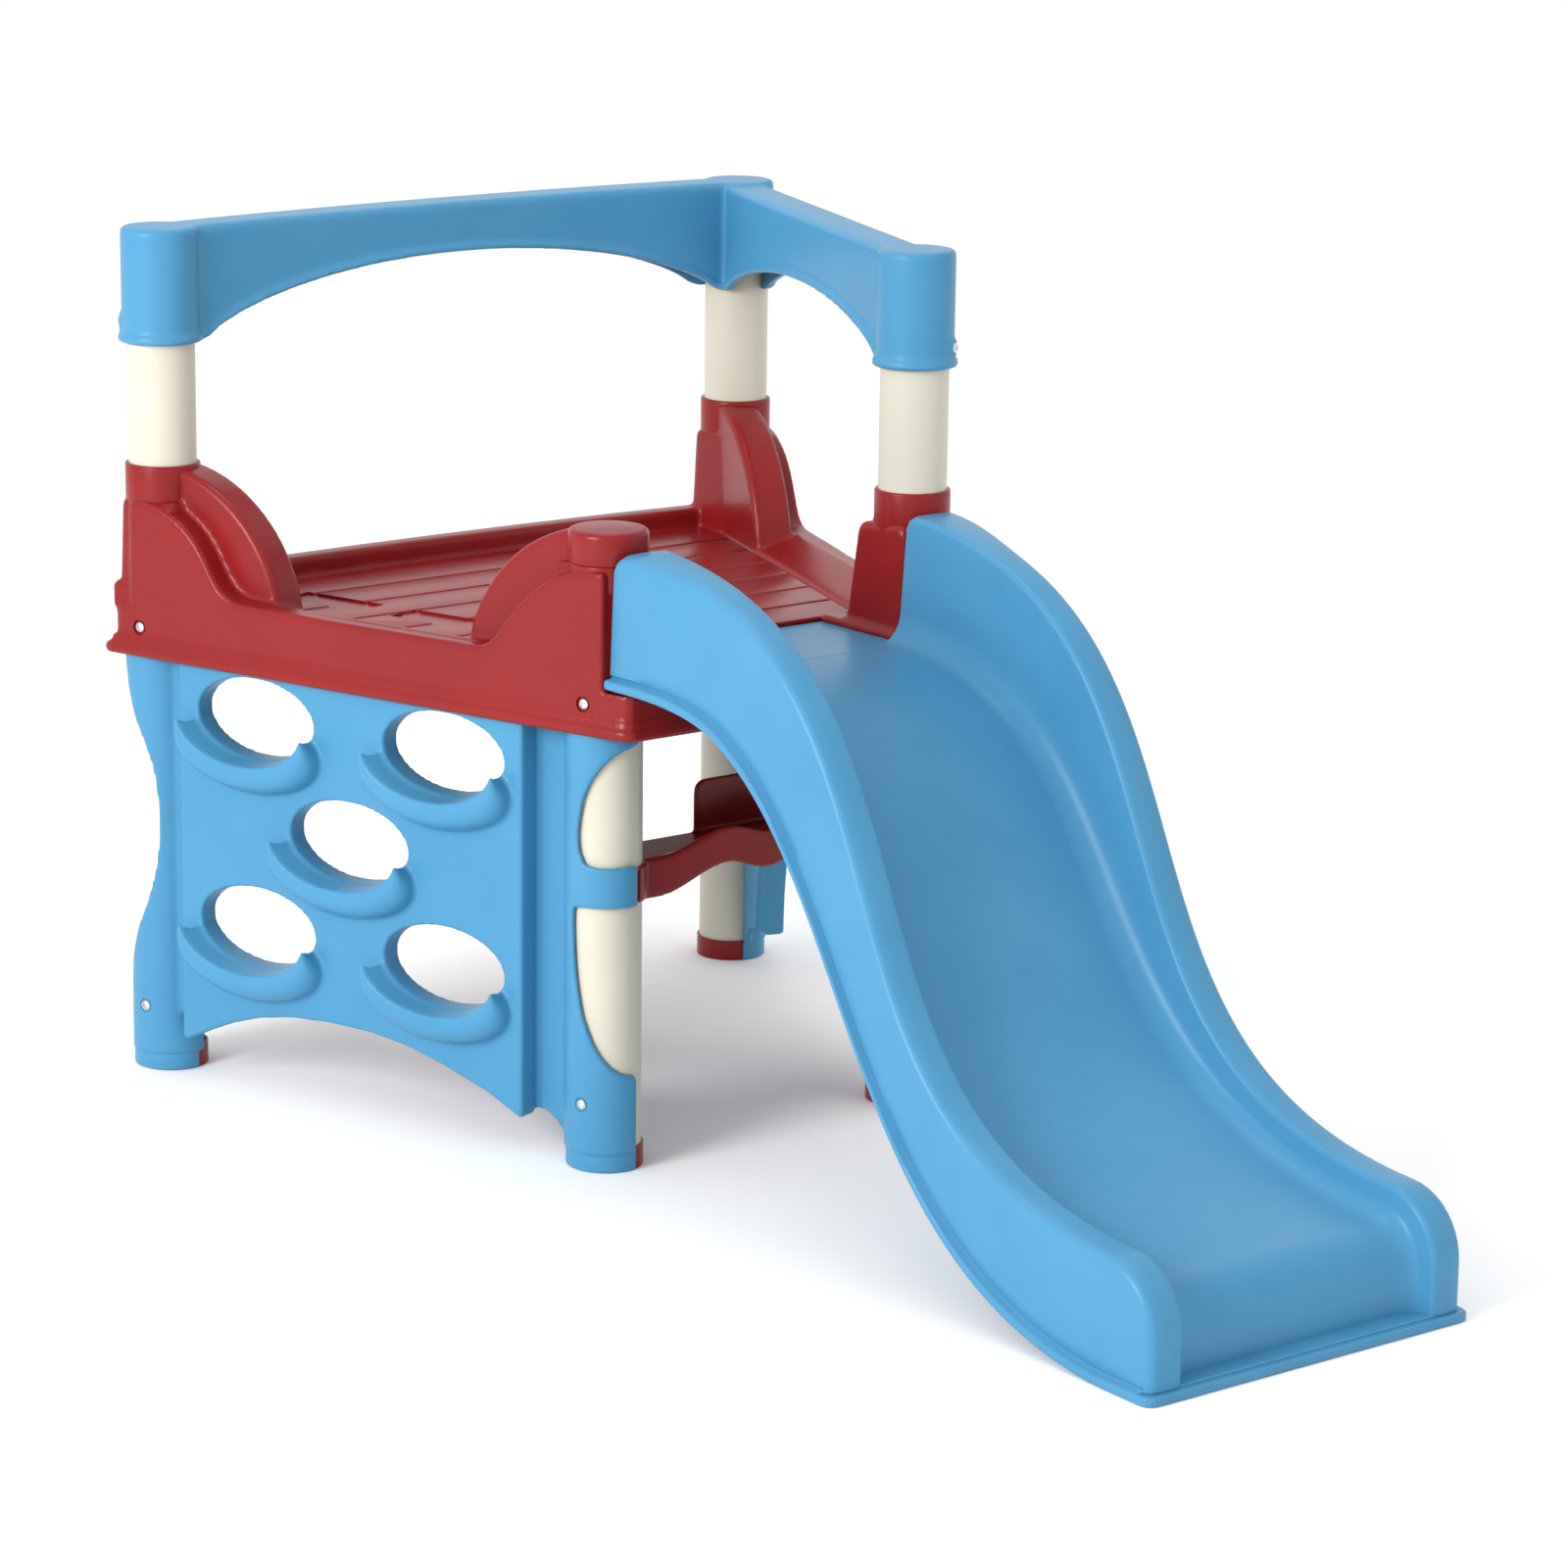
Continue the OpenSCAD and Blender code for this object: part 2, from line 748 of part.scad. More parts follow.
module cross_beam() {
    w = front_spacing / 2 - 20;
    color(red) placed() difference() {
        union() {
            translate([beam_x0, -w, beam_plate_z - skin]) cube([beam_x1 - beam_x0, 2 * w, skin]);
            cross_slab(beam_x1 - skin, beam_x1) beam_apron();
            translate([beam_x0, -w, band_z0 + 4]) cube([skin, 2 * w, beam_plate_z - band_z0 - 4]);
            cross_slab(beam_x0, beam_x0 + skin) beam_tab();
            at_front_posts() translate([0, 0, band_z0 + 2])
                cylinder(h = beam_plate_z - band_z0 - 2, r = socket_r + skin);
        }
        at_front_posts() translate([0, 0, band_z0 - 10]) cylinder(h = 100, r = socket_r);
        both_sides() translate([0, -sky + 1, band_z0 - 10]) cube([sky, sky, 100]);
        beam_screw_places() {
            translate([0, 0, -30]) cylinder(h = 30, r = screw_r);
            cylinder(h = 10, r = head_r + 0.5);
        }
    }
}

module beam_screw_places() {
    for (s = [-1, 1]) translate([front_x, s * front_spacing / 2, beam_screw_z])
        rotate([s * 90, 0, 0]) translate([0, 0, beam_seat]) children();
}

// ---- screws ----

module rail_screws() {
    color(metal) placed() rail_screw_places() screw(screw_len);
}

module deck_screws() {
    color(metal) placed() both_sides() for (s = [0, side_len])
        side_screw(s, deck_screw_z, deck_seat) screw(screw_len);
}

module panel_screws() {
    color(metal) placed() both_sides() for (s = [0, side_len])
        side_screw(s, panel_screw_z, panel_seat) screw(screw_len);
}

module slide_screws() {
    color(metal) placed() for (s = [-1, 1]) translate([slide_screw_x, s * slide_screw_y, ledge_z - skin])
        mirror([0, 0, 1]) screw(skin + 2);
}

module beam_screws() {
    color(metal) placed() beam_screw_places() screw(screw_len);
}

deck();
climbing_panel();
crawl_panel();
slide();
guard_rail();
back_left_post();
front_left_post();
front_right_post();
back_right_post();
corner_cap();
back_left_foot();
front_left_foot();
front_right_foot();
back_right_foot();
cross_beam();
rail_screws();
deck_screws();
panel_screws();
slide_screws();
beam_screws();
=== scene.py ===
import math
import bpy
from mathutils import Matrix, Vector


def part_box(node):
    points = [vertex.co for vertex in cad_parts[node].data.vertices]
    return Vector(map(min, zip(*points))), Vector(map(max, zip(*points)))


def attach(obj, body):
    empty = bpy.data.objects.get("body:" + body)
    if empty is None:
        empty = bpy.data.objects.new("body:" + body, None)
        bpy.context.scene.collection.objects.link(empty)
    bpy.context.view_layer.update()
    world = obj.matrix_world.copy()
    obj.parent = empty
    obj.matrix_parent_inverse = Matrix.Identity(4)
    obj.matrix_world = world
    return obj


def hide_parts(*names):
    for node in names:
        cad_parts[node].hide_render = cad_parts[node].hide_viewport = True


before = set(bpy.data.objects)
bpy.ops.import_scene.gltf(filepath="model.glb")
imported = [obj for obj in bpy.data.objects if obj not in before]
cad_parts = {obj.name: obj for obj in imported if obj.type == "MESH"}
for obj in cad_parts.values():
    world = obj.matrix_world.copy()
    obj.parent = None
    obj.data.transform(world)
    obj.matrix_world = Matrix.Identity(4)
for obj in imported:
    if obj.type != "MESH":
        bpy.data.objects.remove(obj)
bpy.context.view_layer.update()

# shared by all pieces, in metres
layout = {
    "toeAhead": 1.024,        # toe of the slide, ahead of the middle of the posts
    "backPost": (-0.252, 0.342),
    "frontPost": (0.252, 0.175),
    "postRadius": 0.0325,
    "skirtLow": 0.415,
    "collarTop": 0.600,
    "capLow": 0.570,
    "deckScrewZ": 0.443, "panelScrewZ": 0.065, "railScrewZ": 0.735, "beamScrewZ": 0.270,
}
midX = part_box("slide")[1].x - layout["toeAhead"]
backX, backY = layout["backPost"]
frontX, frontY = layout["frontPost"]
sideTurn = math.atan2(backY - frontY, frontX - backX)
sideLength = math.hypot(backY - frontY, frontX - backX)
along = Vector((math.cos(sideTurn), math.sin(sideTurn), 0))
outward = Vector((math.sin(sideTurn), -math.cos(sideTurn), 0))


# ---- tools ----

def settle():
    active = bpy.context.view_layer.objects.active
    if active and active.mode != "OBJECT":
        bpy.ops.object.mode_set(mode="OBJECT")
    bpy.ops.object.select_all(action="DESELECT")


def pick(*pieces):
    settle()
    for piece in pieces:
        piece.select_set(True)
    bpy.context.view_layer.objects.active = pieces[0]


def added(name):
    piece = bpy.context.object
    piece.name = name
    return piece


def joined(name, *pieces):
    pick(*pieces)
    bpy.ops.object.join()
    return added(name)


def fixNormals(piece):
    pick(piece)
    bpy.ops.object.mode_set(mode="EDIT")
    bpy.ops.mesh.select_all(action="SELECT")
    bpy.ops.mesh.normals_make_consistent(inside=False)
    bpy.ops.object.mode_set(mode="OBJECT")


def finishWith(piece, kind, **settings):
    pick(piece)
    modifier = piece.modifiers.new(kind.title(), kind)
    for name, value in settings.items():
        setattr(modifier, name, value)
    bpy.ops.object.modifier_apply(modifier=modifier.name)


def roundEdges(piece, width, segments=3, sharper=35):
    finishWith(piece, "BEVEL", width=width, segments=segments, limit_method="ANGLE",
               angle_limit=math.radians(sharper), use_clamp_overlap=True)


def cutAway(piece, cutter):
    finishWith(piece, "BOOLEAN", operation="DIFFERENCE", object=cutter, solver="EXACT")
    bpy.data.objects.remove(cutter)


# a face drawn point by point, pulled out to a thickness and laid into a frame
def cutShape(name, outline, depth, place, edge=0.0, segments=3, taper=1.0, pivot=(0, 0)):
    settle()
    bpy.ops.mesh.primitive_circle_add(vertices=len(outline), radius=1, fill_type="NGON")
    piece = added(name)
    for vertex, (a, b) in zip(piece.data.vertices, outline):
        vertex.co = (a, b, 0)
    bpy.ops.object.mode_set(mode="EDIT")
    bpy.ops.mesh.select_all(action="SELECT")
    bpy.ops.mesh.extrude_region_move(TRANSFORM_OT_translate={"value": (0, 0, depth)})
    if taper != 1.0:
        bpy.ops.transform.resize(value=(taper, taper, 1), center_override=(*pivot, depth))
    bpy.ops.object.mode_set(mode="OBJECT")
    piece.data.transform(place)
    fixNormals(piece)
    if edge:
        roundEdges(piece, edge, segments)
    return piece


def tube(name, place, radius, low, high, edge=0.0, segments=3, vertices=72):
    settle()
    bpy.ops.mesh.primitive_cylinder_add(vertices=vertices, radius=radius, depth=high - low,
                                        location=(place[0], place[1], (low + high) / 2))
    piece = added(name)
    bpy.ops.object.transform_apply(location=True, rotation=True, scale=True)
    if edge:
        roundEdges(piece, edge, segments)
    return piece


def box(name, low, high, edge=0.0, segments=4):
    settle()
    centre = [(a + b) / 2 for a, b in zip(low, high)]
    bpy.ops.mesh.primitive_cube_add(size=1, location=centre)
    piece = added(name)
    piece.scale = [b - a for a, b in zip(low, high)]
    bpy.ops.object.transform_apply(location=True, rotation=True, scale=True)
    if edge:
        roundEdges(piece, edge, segments)
    return piece


# a closed skin through rings of the same number of points
def loft(name, rings, edge=0.0, segments=3):
    count = len(rings[0])
    settle()
    bpy.ops.mesh.primitive_grid_add(x_subdivisions=count, y_subdivisions=len(rings) - 1, size=1)
    piece = added(name)
    for r, ring in enumerate(rings):
        for c in range(count + 1):
            piece.data.vertices[r * (count + 1) + c].co = ring[c % count]
    bpy.ops.object.mode_set(mode="EDIT")
    bpy.ops.mesh.select_all(action="SELECT")
    bpy.ops.mesh.remove_doubles(threshold=0.000001)
    bpy.ops.mesh.select_all(action="SELECT")
    bpy.ops.mesh.fill_holes(sides=0)
    bpy.ops.object.mode_set(mode="OBJECT")
    fixNormals(piece)
    if edge:
        roundEdges(piece, edge, segments)
    return piece


# one skin over bodies that overlap, with its inside corners softened
def fuse(name, bodies, grain, passes, keep=1.0):
    piece = joined(name, *bodies)
    finishWith(piece, "REMESH", mode="VOXEL", voxel_size=grain, use_smooth_shade=True)
    finishWith(piece, "SMOOTH", factor=0.5, iterations=passes)
    if keep < 1:
        finishWith(piece, "DECIMATE", ratio=keep)
    shadeSmooth(piece, 60)
    print("fused", name, len(piece.data.polygons), "faces")
    return piece


def shadeSmooth(piece, degrees):
    pick(piece)
    bpy.ops.object.shade_smooth_by_angle(angle=math.radians(degrees))


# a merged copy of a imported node, to be worked on
def copyNode(node, name):
    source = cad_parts[node]
    piece = bpy.data.objects.new(name, source.data.copy())
    bpy.context.scene.collection.objects.link(piece)
    piece.data.materials.clear()
    pick(piece)
    bpy.ops.object.mode_set(mode="EDIT")
    bpy.ops.mesh.select_all(action="SELECT")
    bpy.ops.mesh.remove_doubles(threshold=0.00002)
    bpy.ops.object.mode_set(mode="OBJECT")
    return piece


# frames: a and b of an outline are laid along the first two columns, its depth along the third
def sideFrame(right, out):
    flip = -1 if right else 1
    u = Vector((along.x, along.y * flip, 0))
    n = Vector((outward.x, outward.y * flip, 0))
    origin = Vector((midX + backX, -backY * flip, 0)) + n * out
    return Matrix(((u.x, 0, n.x, origin.x), (u.y, 0, n.y, origin.y), (0, 1, 0, 0), (0, 0, 0, 1)))


def lengthFrame(y):
    return Matrix(((1, 0, 0, midX), (0, 0, 1, y), (0, 1, 0, 0), (0, 0, 0, 1)))


def crossFrame(x):
    return Matrix(((0, 0, 1, midX + x), (1, 0, 0, 0), (0, 1, 0, 0), (0, 0, 0, 1)))


def flatFrame(z):
    return Matrix(((1, 0, 0, midX), (0, 1, 0, 0), (0, 0, 1, z), (0, 0, 0, 1)))


def sidePoint(right, s, out, z):
    return sideFrame(right, out) @ Vector((s, z, 0))


def bezier(p, t):
    w = ((1 - t) ** 3, 3 * (1 - t) ** 2 * t, 3 * (1 - t) * t * t, t ** 3)
    return Vector((sum(k * q[0] for k, q in zip(w, p)), sum(k * q[1] for k, q in zip(w, p))))


def ellipse(centre, a, b, start=0, end=360, steps=48):
    count = steps if end - start == 360 else steps + 1
    angles = [math.radians(start + (end - start) * i / steps) for i in range(count)]
    return [(centre[0] + a * math.cos(angle), centre[1] + b * math.sin(angle)) for angle in angles]


def rectangle(left, low, right, high):
    return [(left, low), (right, low), (right, high), (left, high)]


def ease(t):
    t = min(1, max(0, t))
    return t * t * (3 - 2 * t)


# arcs in place of the sharp corners of an outline
def roundedOutline(points, radius, sharper=25, steps=5):
    result = []
    count = len(points)
    for i in range(count):
        a, b, c = (Vector(points[(i + k) % count]) for k in (-1, 0, 1))
        before, after = (a - b), (c - b)
        turn = math.pi - before.angle(after)
        if turn < math.radians(sharper):
            result.append(tuple(b))
            continue
        reach = min(radius * math.tan(turn / 2), before.length * 0.45, after.length * 0.45)
        start, end = b + before.normalized() * reach, b + after.normalized() * reach
        for k in range(steps + 1):
            t = k / steps
            result.append(tuple((1 - t) ** 2 * start + 2 * t * (1 - t) * b + t * t * end))
    return result


corners = {
    "backLeft": (midX + backX, -backY), "frontLeft": (midX + frontX, -frontY),
    "frontRight": (midX + frontX, frontY), "backRight": (midX + backX, backY),
}


# ---- finishes ----

def addSocket(group, name, direction, kind, value=None):
    socket = group.interface.new_socket(name=name, in_out=direction, socket_type=kind)
    if value is not None:
        socket.default_value = value


# fine moulding texture: a bump height and a slow mottle
def buildGrain():
    group = bpy.data.node_groups.new("mouldGrain", "ShaderNodeTree")
    addSocket(group, "Fineness", "INPUT", "NodeSocketFloat", 900.0)
    addSocket(group, "Peel", "INPUT", "NodeSocketFloat", 0.35)
    addSocket(group, "Height", "OUTPUT", "NodeSocketFloat")
    addSocket(group, "Mottle", "OUTPUT", "NodeSocketFloat")
    nodes, links = group.nodes, group.links
    given = nodes.new("NodeGroupInput")
    result = nodes.new("NodeGroupOutput")
    coordinate = nodes.new("ShaderNodeTexCoord")
    fine = nodes.new("ShaderNodeTexNoise")
    fine.inputs["Detail"].default_value = 2.0
    fine.inputs["Roughness"].default_value = 0.6
    peel = nodes.new("ShaderNodeTexNoise")
    peel.inputs["Scale"].default_value = 130.0
    peel.inputs["Detail"].default_value = 1.0
    slow = nodes.new("ShaderNodeTexNoise")
    slow.inputs["Scale"].default_value = 9.0
    slow.inputs["Detail"].default_value = 3.0
    mixed = nodes.new("ShaderNodeMath")
    mixed.operation = "MULTIPLY_ADD"
    for texture in (fine, peel, slow):
        links.new(coordinate.outputs["Object"], texture.inputs["Vector"])
    links.new(given.outputs["Fineness"], fine.inputs["Scale"])
    links.new(peel.outputs["Fac"], mixed.inputs[0])
    links.new(given.outputs["Peel"], mixed.inputs[1])
    links.new(fine.outputs["Fac"], mixed.inputs[2])
    links.new(mixed.outputs[0], result.inputs["Height"])
    links.new(slow.outputs["Fac"], result.inputs["Mottle"])
    return group


# thin rubbed streaks, as a mask
def buildScuffs():
    group = bpy.data.node_groups.new("rubbedStreaks", "ShaderNodeTree")
    addSocket(group, "Scale", "INPUT", "NodeSocketFloat", 30.0)
    addSocket(group, "Cover", "INPUT", "NodeSocketFloat", 0.62)
    addSocket(group, "Mask", "OUTPUT", "NodeSocketFloat")
    nodes, links = group.nodes, group.links
    given = nodes.new("NodeGroupInput")
    result = nodes.new("NodeGroupOutput")
    coordinate = nodes.new("ShaderNodeTexCoord")
    stretch = nodes.new("ShaderNodeMapping")
    stretch.inputs["Scale"].default_value = (1.0, 9.0, 1.6)
    stretch.inputs["Rotation"].default_value = (0.3, 0.5, 0.2)
    streak = nodes.new("ShaderNodeTexNoise")
    streak.inputs["Detail"].default_value = 5.0
    streak.inputs["Roughness"].default_value = 0.7
    cut = nodes.new("ShaderNodeMapRange")
    cut.inputs["From Max"].default_value = 0.85
    links.new(coordinate.outputs["Object"], stretch.inputs["Vector"])
    links.new(stretch.outputs["Vector"], streak.inputs["Vector"])
    links.new(given.outputs["Scale"], streak.inputs["Scale"])
    links.new(given.outputs["Cover"], cut.inputs["From Min"])
    links.new(streak.outputs["Fac"], cut.inputs["Value"])
    links.new(cut.outputs["Result"], result.inputs["Mask"])
    return group


grainGroup = buildGrain()
scuffGroup = buildScuffs()


def mouldedPlastic(name, colour, shade, rough, fineness=1100.0, bump=0.05, specular=0.22):
    material = bpy.data.materials.new(name)
    material.use_nodes = True
    nodes, links = material.node_tree.nodes, material.node_tree.links
    shader = nodes["Principled BSDF"]
    shader.inputs["Specular IOR Level"].default_value = specular
    grain = nodes.new("ShaderNodeGroup")
    grain.node_tree = grainGroup
    grain.inputs["Fineness"].default_value = fineness
    scuffs = nodes.new("ShaderNodeGroup")
    scuffs.node_tree = scuffGroup
    tint = nodes.new("ShaderNodeMix")
    tint.data_type = "RGBA"
    tint.inputs["A"].default_value = (*shade, 1)
    tint.inputs["B"].default_value = (*colour, 1)
    spread = nodes.new("ShaderNodeMapRange")
    spread.inputs["From Min"].default_value = 0.35
    spread.inputs["From Max"].default_value = 0.65
    gloss = nodes.new("ShaderNodeMath")
    gloss.operation = "MULTIPLY_ADD"
    gloss.inputs[1].default_value = 0.12
    gloss.inputs[2].default_value = rough
    relief = nodes.new("ShaderNodeBump")
    relief.inputs["Strength"].default_value = bump
    relief.inputs["Distance"].default_value = 0.0006
    links.new(grain.outputs["Mottle"], spread.inputs["Value"])
    links.new(spread.outputs["Result"], tint.inputs["Factor"])
    links.new(tint.outputs["Result"], shader.inputs["Base Color"])
    links.new(scuffs.outputs["Mask"], gloss.inputs[0])
    links.new(gloss.outputs[0], shader.inputs["Roughness"])
    links.new(grain.outputs["Height"], relief.inputs["Height"])
    links.new(relief.outputs["Normal"], shader.inputs["Normal"])
    return material


blueFinish = mouldedPlastic("bluePolyethylene", (0.060, 0.243, 0.415), (0.053, 0.228, 0.396), 0.38)
slideFinish = mouldedPlastic("slideBlue", (0.062, 0.243, 0.415), (0.054, 0.228, 0.398), 0.34)
redFinish = mouldedPlastic("redPolyethylene", (0.225, 0.0095, 0.0085), (0.196, 0.0075, 0.0070), 0.30,
                           specular=0.26)
creamFinish = mouldedPlastic("creamTube", (0.560, 0.535, 0.445), (0.535, 0.508, 0.415), 0.36)


def screwMetal():
    material = bpy.data.materials.new("zincScrew")
    material.use_nodes = True
    nodes, links = material.node_tree.nodes, material.node_tree.links
    shader = nodes["Principled BSDF"]
    shader.inputs["Base Color"].default_value = (0.62, 0.63, 0.65, 1)
    shader.inputs["Metallic"].default_value = 1.0
    scuffs = nodes.new("ShaderNodeGroup")
    scuffs.node_tree = scuffGroup
    scuffs.inputs["Scale"].default_value = 400.0
    scuffs.inputs["Cover"].default_value = 0.45
    gloss = nodes.new("ShaderNodeMath")
    gloss.operation = "MULTIPLY_ADD"
    gloss.inputs[1].default_value = 0.3
    gloss.inputs[2].default_value = 0.26
    links.new(scuffs.outputs["Mask"], gloss.inputs[0])
    links.new(gloss.outputs[0], shader.inputs["Roughness"])
    return material


zincFinish = screwMetal()


def deliver(piece, finish, slot, *nodes):
    piece.data.materials.clear()
    piece.data.materials.append(finish)
    for polygon in piece.data.polygons:
        polygon.material_index = 0
    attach(piece, "root")
    if nodes:
        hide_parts(*nodes)


print("finishes ready")


# ---- camera, floor and light ----

cameraSettings = {
    "place": (3.8415836, -2.7131026, 1.4617446),   # from the middle of the posts
    "yaw": 142.638, "pitch": -14.032, "roll": 0.780,
    "lens": 114.05, "sensor": 36.0,
}


def addCamera():
    data = bpy.data.cameras.new("camera")
    data.lens = cameraSettings["lens"]
    data.sensor_width = cameraSettings["sensor"]
    data.clip_end = 50
    camera = bpy.data.objects.new("camera", data)
    bpy.context.scene.collection.objects.link(camera)
    yaw, pitch, roll = (math.radians(cameraSettings[k]) for k in ("yaw", "pitch", "roll"))
    ahead = Vector((math.cos(pitch) * math.cos(yaw), math.cos(pitch) * math.sin(yaw), math.sin(pitch)))
    right = ahead.cross(Vector((0, 0, 1))).normalized()
    up = right.cross(ahead)
    turnedRight = math.cos(roll) * right + math.sin(roll) * up
    turnedUp = -math.sin(roll) * right + math.cos(roll) * up
    turn = Matrix((turnedRight, turnedUp, -ahead)).transposed().to_4x4()
    place = Vector(cameraSettings["place"]) + Vector((midX, 0, 0))
    camera.matrix_world = Matrix.Translation(place) @ turn
    bpy.context.scene.camera = camera


def addFloor():
    settle()
    bpy.ops.mesh.primitive_plane_add(size=30, location=(0, 0, 0))
    floor = added("studioFloor")
    material = bpy.data.materials.new("paleFloor")
    material.use_nodes = True
    nodes, links = material.node_tree.nodes, material.node_tree.links
    shader = nodes["Principled BSDF"]
    shader.inputs["Roughness"].default_value = 0.9
    shader.inputs["Specular IOR Level"].default_value = 0.1
    coordinate = nodes.new("ShaderNodeTexCoord")
    speckle = nodes.new("ShaderNodeTexNoise")
    speckle.inputs["Scale"].default_value = 3.0
    tint = nodes.new("ShaderNodeMix")
    tint.data_type = "RGBA"
    tint.inputs["A"].default_value = (0.915, 0.915, 0.915, 1)
    tint.inputs["B"].default_value = (0.930, 0.930, 0.930, 1)
    links.new(coordinate.outputs["Object"], speckle.inputs["Vector"])
    links.new(speckle.outputs["Fac"], tint.inputs["Factor"])
    links.new(tint.outputs["Result"], shader.inputs["Base Color"])
    floor.data.materials.append(material)


def addLight(name, place, target, size, power):
    data = bpy.data.lights.new(name, "AREA")
    data.shape = "DISK"
    data.size = size
    data.energy = power
    light = bpy.data.objects.new(name, data)
    bpy.context.scene.collection.objects.link(light)
    light.location = place
    light.rotation_euler = (Vector(target) - Vector(place)).to_track_quat("-Z", "Y").to_euler()


def addStudio():
    addCamera()
    addFloor()
    world = bpy.data.worlds.new("studio")
    world.use_nodes = True
    world.node_tree.nodes["Background"].inputs["Color"].default_value = (1.0, 1.0, 1.0, 1)
    world.node_tree.nodes["Background"].inputs["Strength"].default_value = 1.08
    bpy.context.scene.world = world
    addLight("keyLight", (0.5, -4.2, 2.1), (0.0, 0, 0.35), 2.0, 158)
    addLight("topLight", (-0.8, 0.4, 3.8), (0.0, 0, 0.3), 1.6, 16)
    bpy.context.scene.view_settings.view_transform = "Standard"


addStudio()
print("studio ready")


# ---- slide ----

slideShape = {
    "top": [(0.297, 0.583), (0.735, 0.560), (0.520, 0.128), (0.958, 0.112)],
    "end": [(0.2862, 0.5730), (0.2895, 0.5790)], "endStep": 0.0022, "endNormal": (-0.30, 0.954),
    "bed": [(0.292, 0.462), (0.664, 0.462), (0.510, 0.109), (0.962, 0.083)],
    "low": [(0.292, 0.459), (0.634, 0.472), (0.564, 0.022), (0.957, 0.000)],
    "crest": [(0.962, 0.083), (0.990, 0.080), (0.996, 0.055), (0.998, 0.010)],   # front end of the bed
    "bedHalf": 0.112, "hollow": 0.026, "fillet": 0.030, "wallFoot": 0.138, "lean": 0.002,
    "inner": 0.140, "crown": (0.1530, 0.1600), "crownRise": 0.0003, "outer": 0.176, "faceLow": 0.013,
    # parting groove and lip along the lower edge: out from the wall, up from the edge
    "lipLine": [(-0.0012, 0.0114), (0.0, 0.0096), (0.0052, 0.0090), (0.0067, 0.0076),
                (0.0070, 0.0040), (0.0067, 0.0012), (0.0050, 0.0), (-0.0040, 0.0)],
    "flare": 0.019, "flareLength": 0.135, "flareX": 0.290, "flareY": 0.150,
    "innerEdge": 0.006, "outerEdge": 0.009,
    "noseRadius": 0.060, "noseX": 0.958, "noseZ": 0.052, "noseTurn": 0.62, "noseDrop": 0.042,
    "rowCount": 84, "noseRows": 16, "wall": 0.0035,
    "headLow": (0.171, -0.137, 0.4585), "headHigh": (0.296, 0.137, 0.4622),
    # two plates along the ground: front end, half width, height, edge
    "toeLips": [(1.024, 0.183, 0.0088, 0.0026), (1.0175, 0.176, 0.0112, 0.0018)],
    "toeBack": 0.985, "toeCorner": 0.013,
}


# the three leading lines of one wall: top edge, bed and lower edge, row by row
def slideLines():
    g = slideShape
    rows = []
    for x, z in g["end"]:
        start = x - g["endStep"]
        rows.append((Vector((x, z)), Vector((start, g["bed"][0][1])), Vector((start, g["low"][0][1]))))
    for i in range(g["rowCount"] + 1):
        t = i / g["rowCount"]
        rows.append((bezier(g["top"], t), bezier(g["bed"], t), bezier(g["low"], t)))
    lowEnd = g["low"][-1][0]
    lowReach = g["noseX"] + g["noseRadius"] - g["outerEdge"] - lowEnd
    for i in range(1, g["noseRows"] + 1):
        t = i / g["noseRows"]
        angle = math.radians(90 * (1 - min(1, t / g["noseTurn"])))
        drop = g["noseDrop"] * max(0, (t - g["noseTurn"]) / (1 - g["noseTurn"]))
        nose = Vector((g["noseX"] + g["noseRadius"] * math.cos(angle),
                       g["noseZ"] + g["noseRadius"] * math.sin(angle) - drop))
        rows.append((nose, bezier(g["crest"], t), Vector((lowEnd + lowReach * t, 0.0))))
    return rows


def slideNormals(points):
    normals = []
    for i in range(len(points)):
        a = points[max(0, i - 1)]
        b = points[min(len(points) - 1, i + 1)]
        d = (b - a).normalized()
        normals.append(Vector((-d.y, d.x)))
    return normals


# the walls stand wider apart on their outer side where they meet the deck
def flared(y, x):
    g = slideShape
    share = min(1, max(0, (y - g["flareY"]) / (g["outer"] - g["flareY"])))
    return share * g["flare"] * (1 - ease((x - g["flareX"]) / g["flareLength"]))


# one row of points across half the slide, from its middle out and down to the lower edge
def slideSection(top, topN, bed, bedN, low):
    g = slideShape
    reach = (top - bed).length
    fillet = min(g["fillet"], reach * 0.45)
    shoulder = min(g["innerEdge"], reach * 0.4)
    edge = g["outerEdge"]
    section = []
    for k in range(7):                                        # bed
        section.append((g["bedHalf"] * k / 6, bed))
    for k in range(1, 8):                                     # hollow between bed and wall
        a = math.radians(90 * k / 7)
        section.append((g["bedHalf"] + g["hollow"] * math.sin(a), bed + bedN * fillet * (1 - math.cos(a))))
    lowInner = section[-1][1]
    highInner = top - topN * shoulder
    for k in range(1, 7):                                     # inner face
        section.append((g["wallFoot"] + g["lean"] * k / 6, lowInner.lerp(highInner, k / 6)))
    for k in range(1, 8):                                     # inner shoulder
        a = math.radians(90 * k / 7)
        section.append((g["inner"] + shoulder * (1 - math.cos(a)), highInner + topN * shoulder * math.sin(a)))
    section += [(y, top + topN * g["crownRise"]) for y in g["crown"]]
    for k in range(1, 7):                                     # outer shoulder
        a = math.radians(90 * k / 6)
        section.append((g["outer"] - edge + edge * math.sin(a), top - topN * edge * (1 - math.cos(a))))
    highOuter = section[-1][1]
    lowOuter = low + Vector((0, g["faceLow"]))
    for k in range(1, 9):                                     # outer face
        section.append((g["outer"], highOuter.lerp(lowOuter, k / 8)))
    section += [(g["outer"] + out, low + Vector((0, high))) for out, high in g["lipLine"]]
    return [(y + flared(y, point.x), point) for y, point in section]


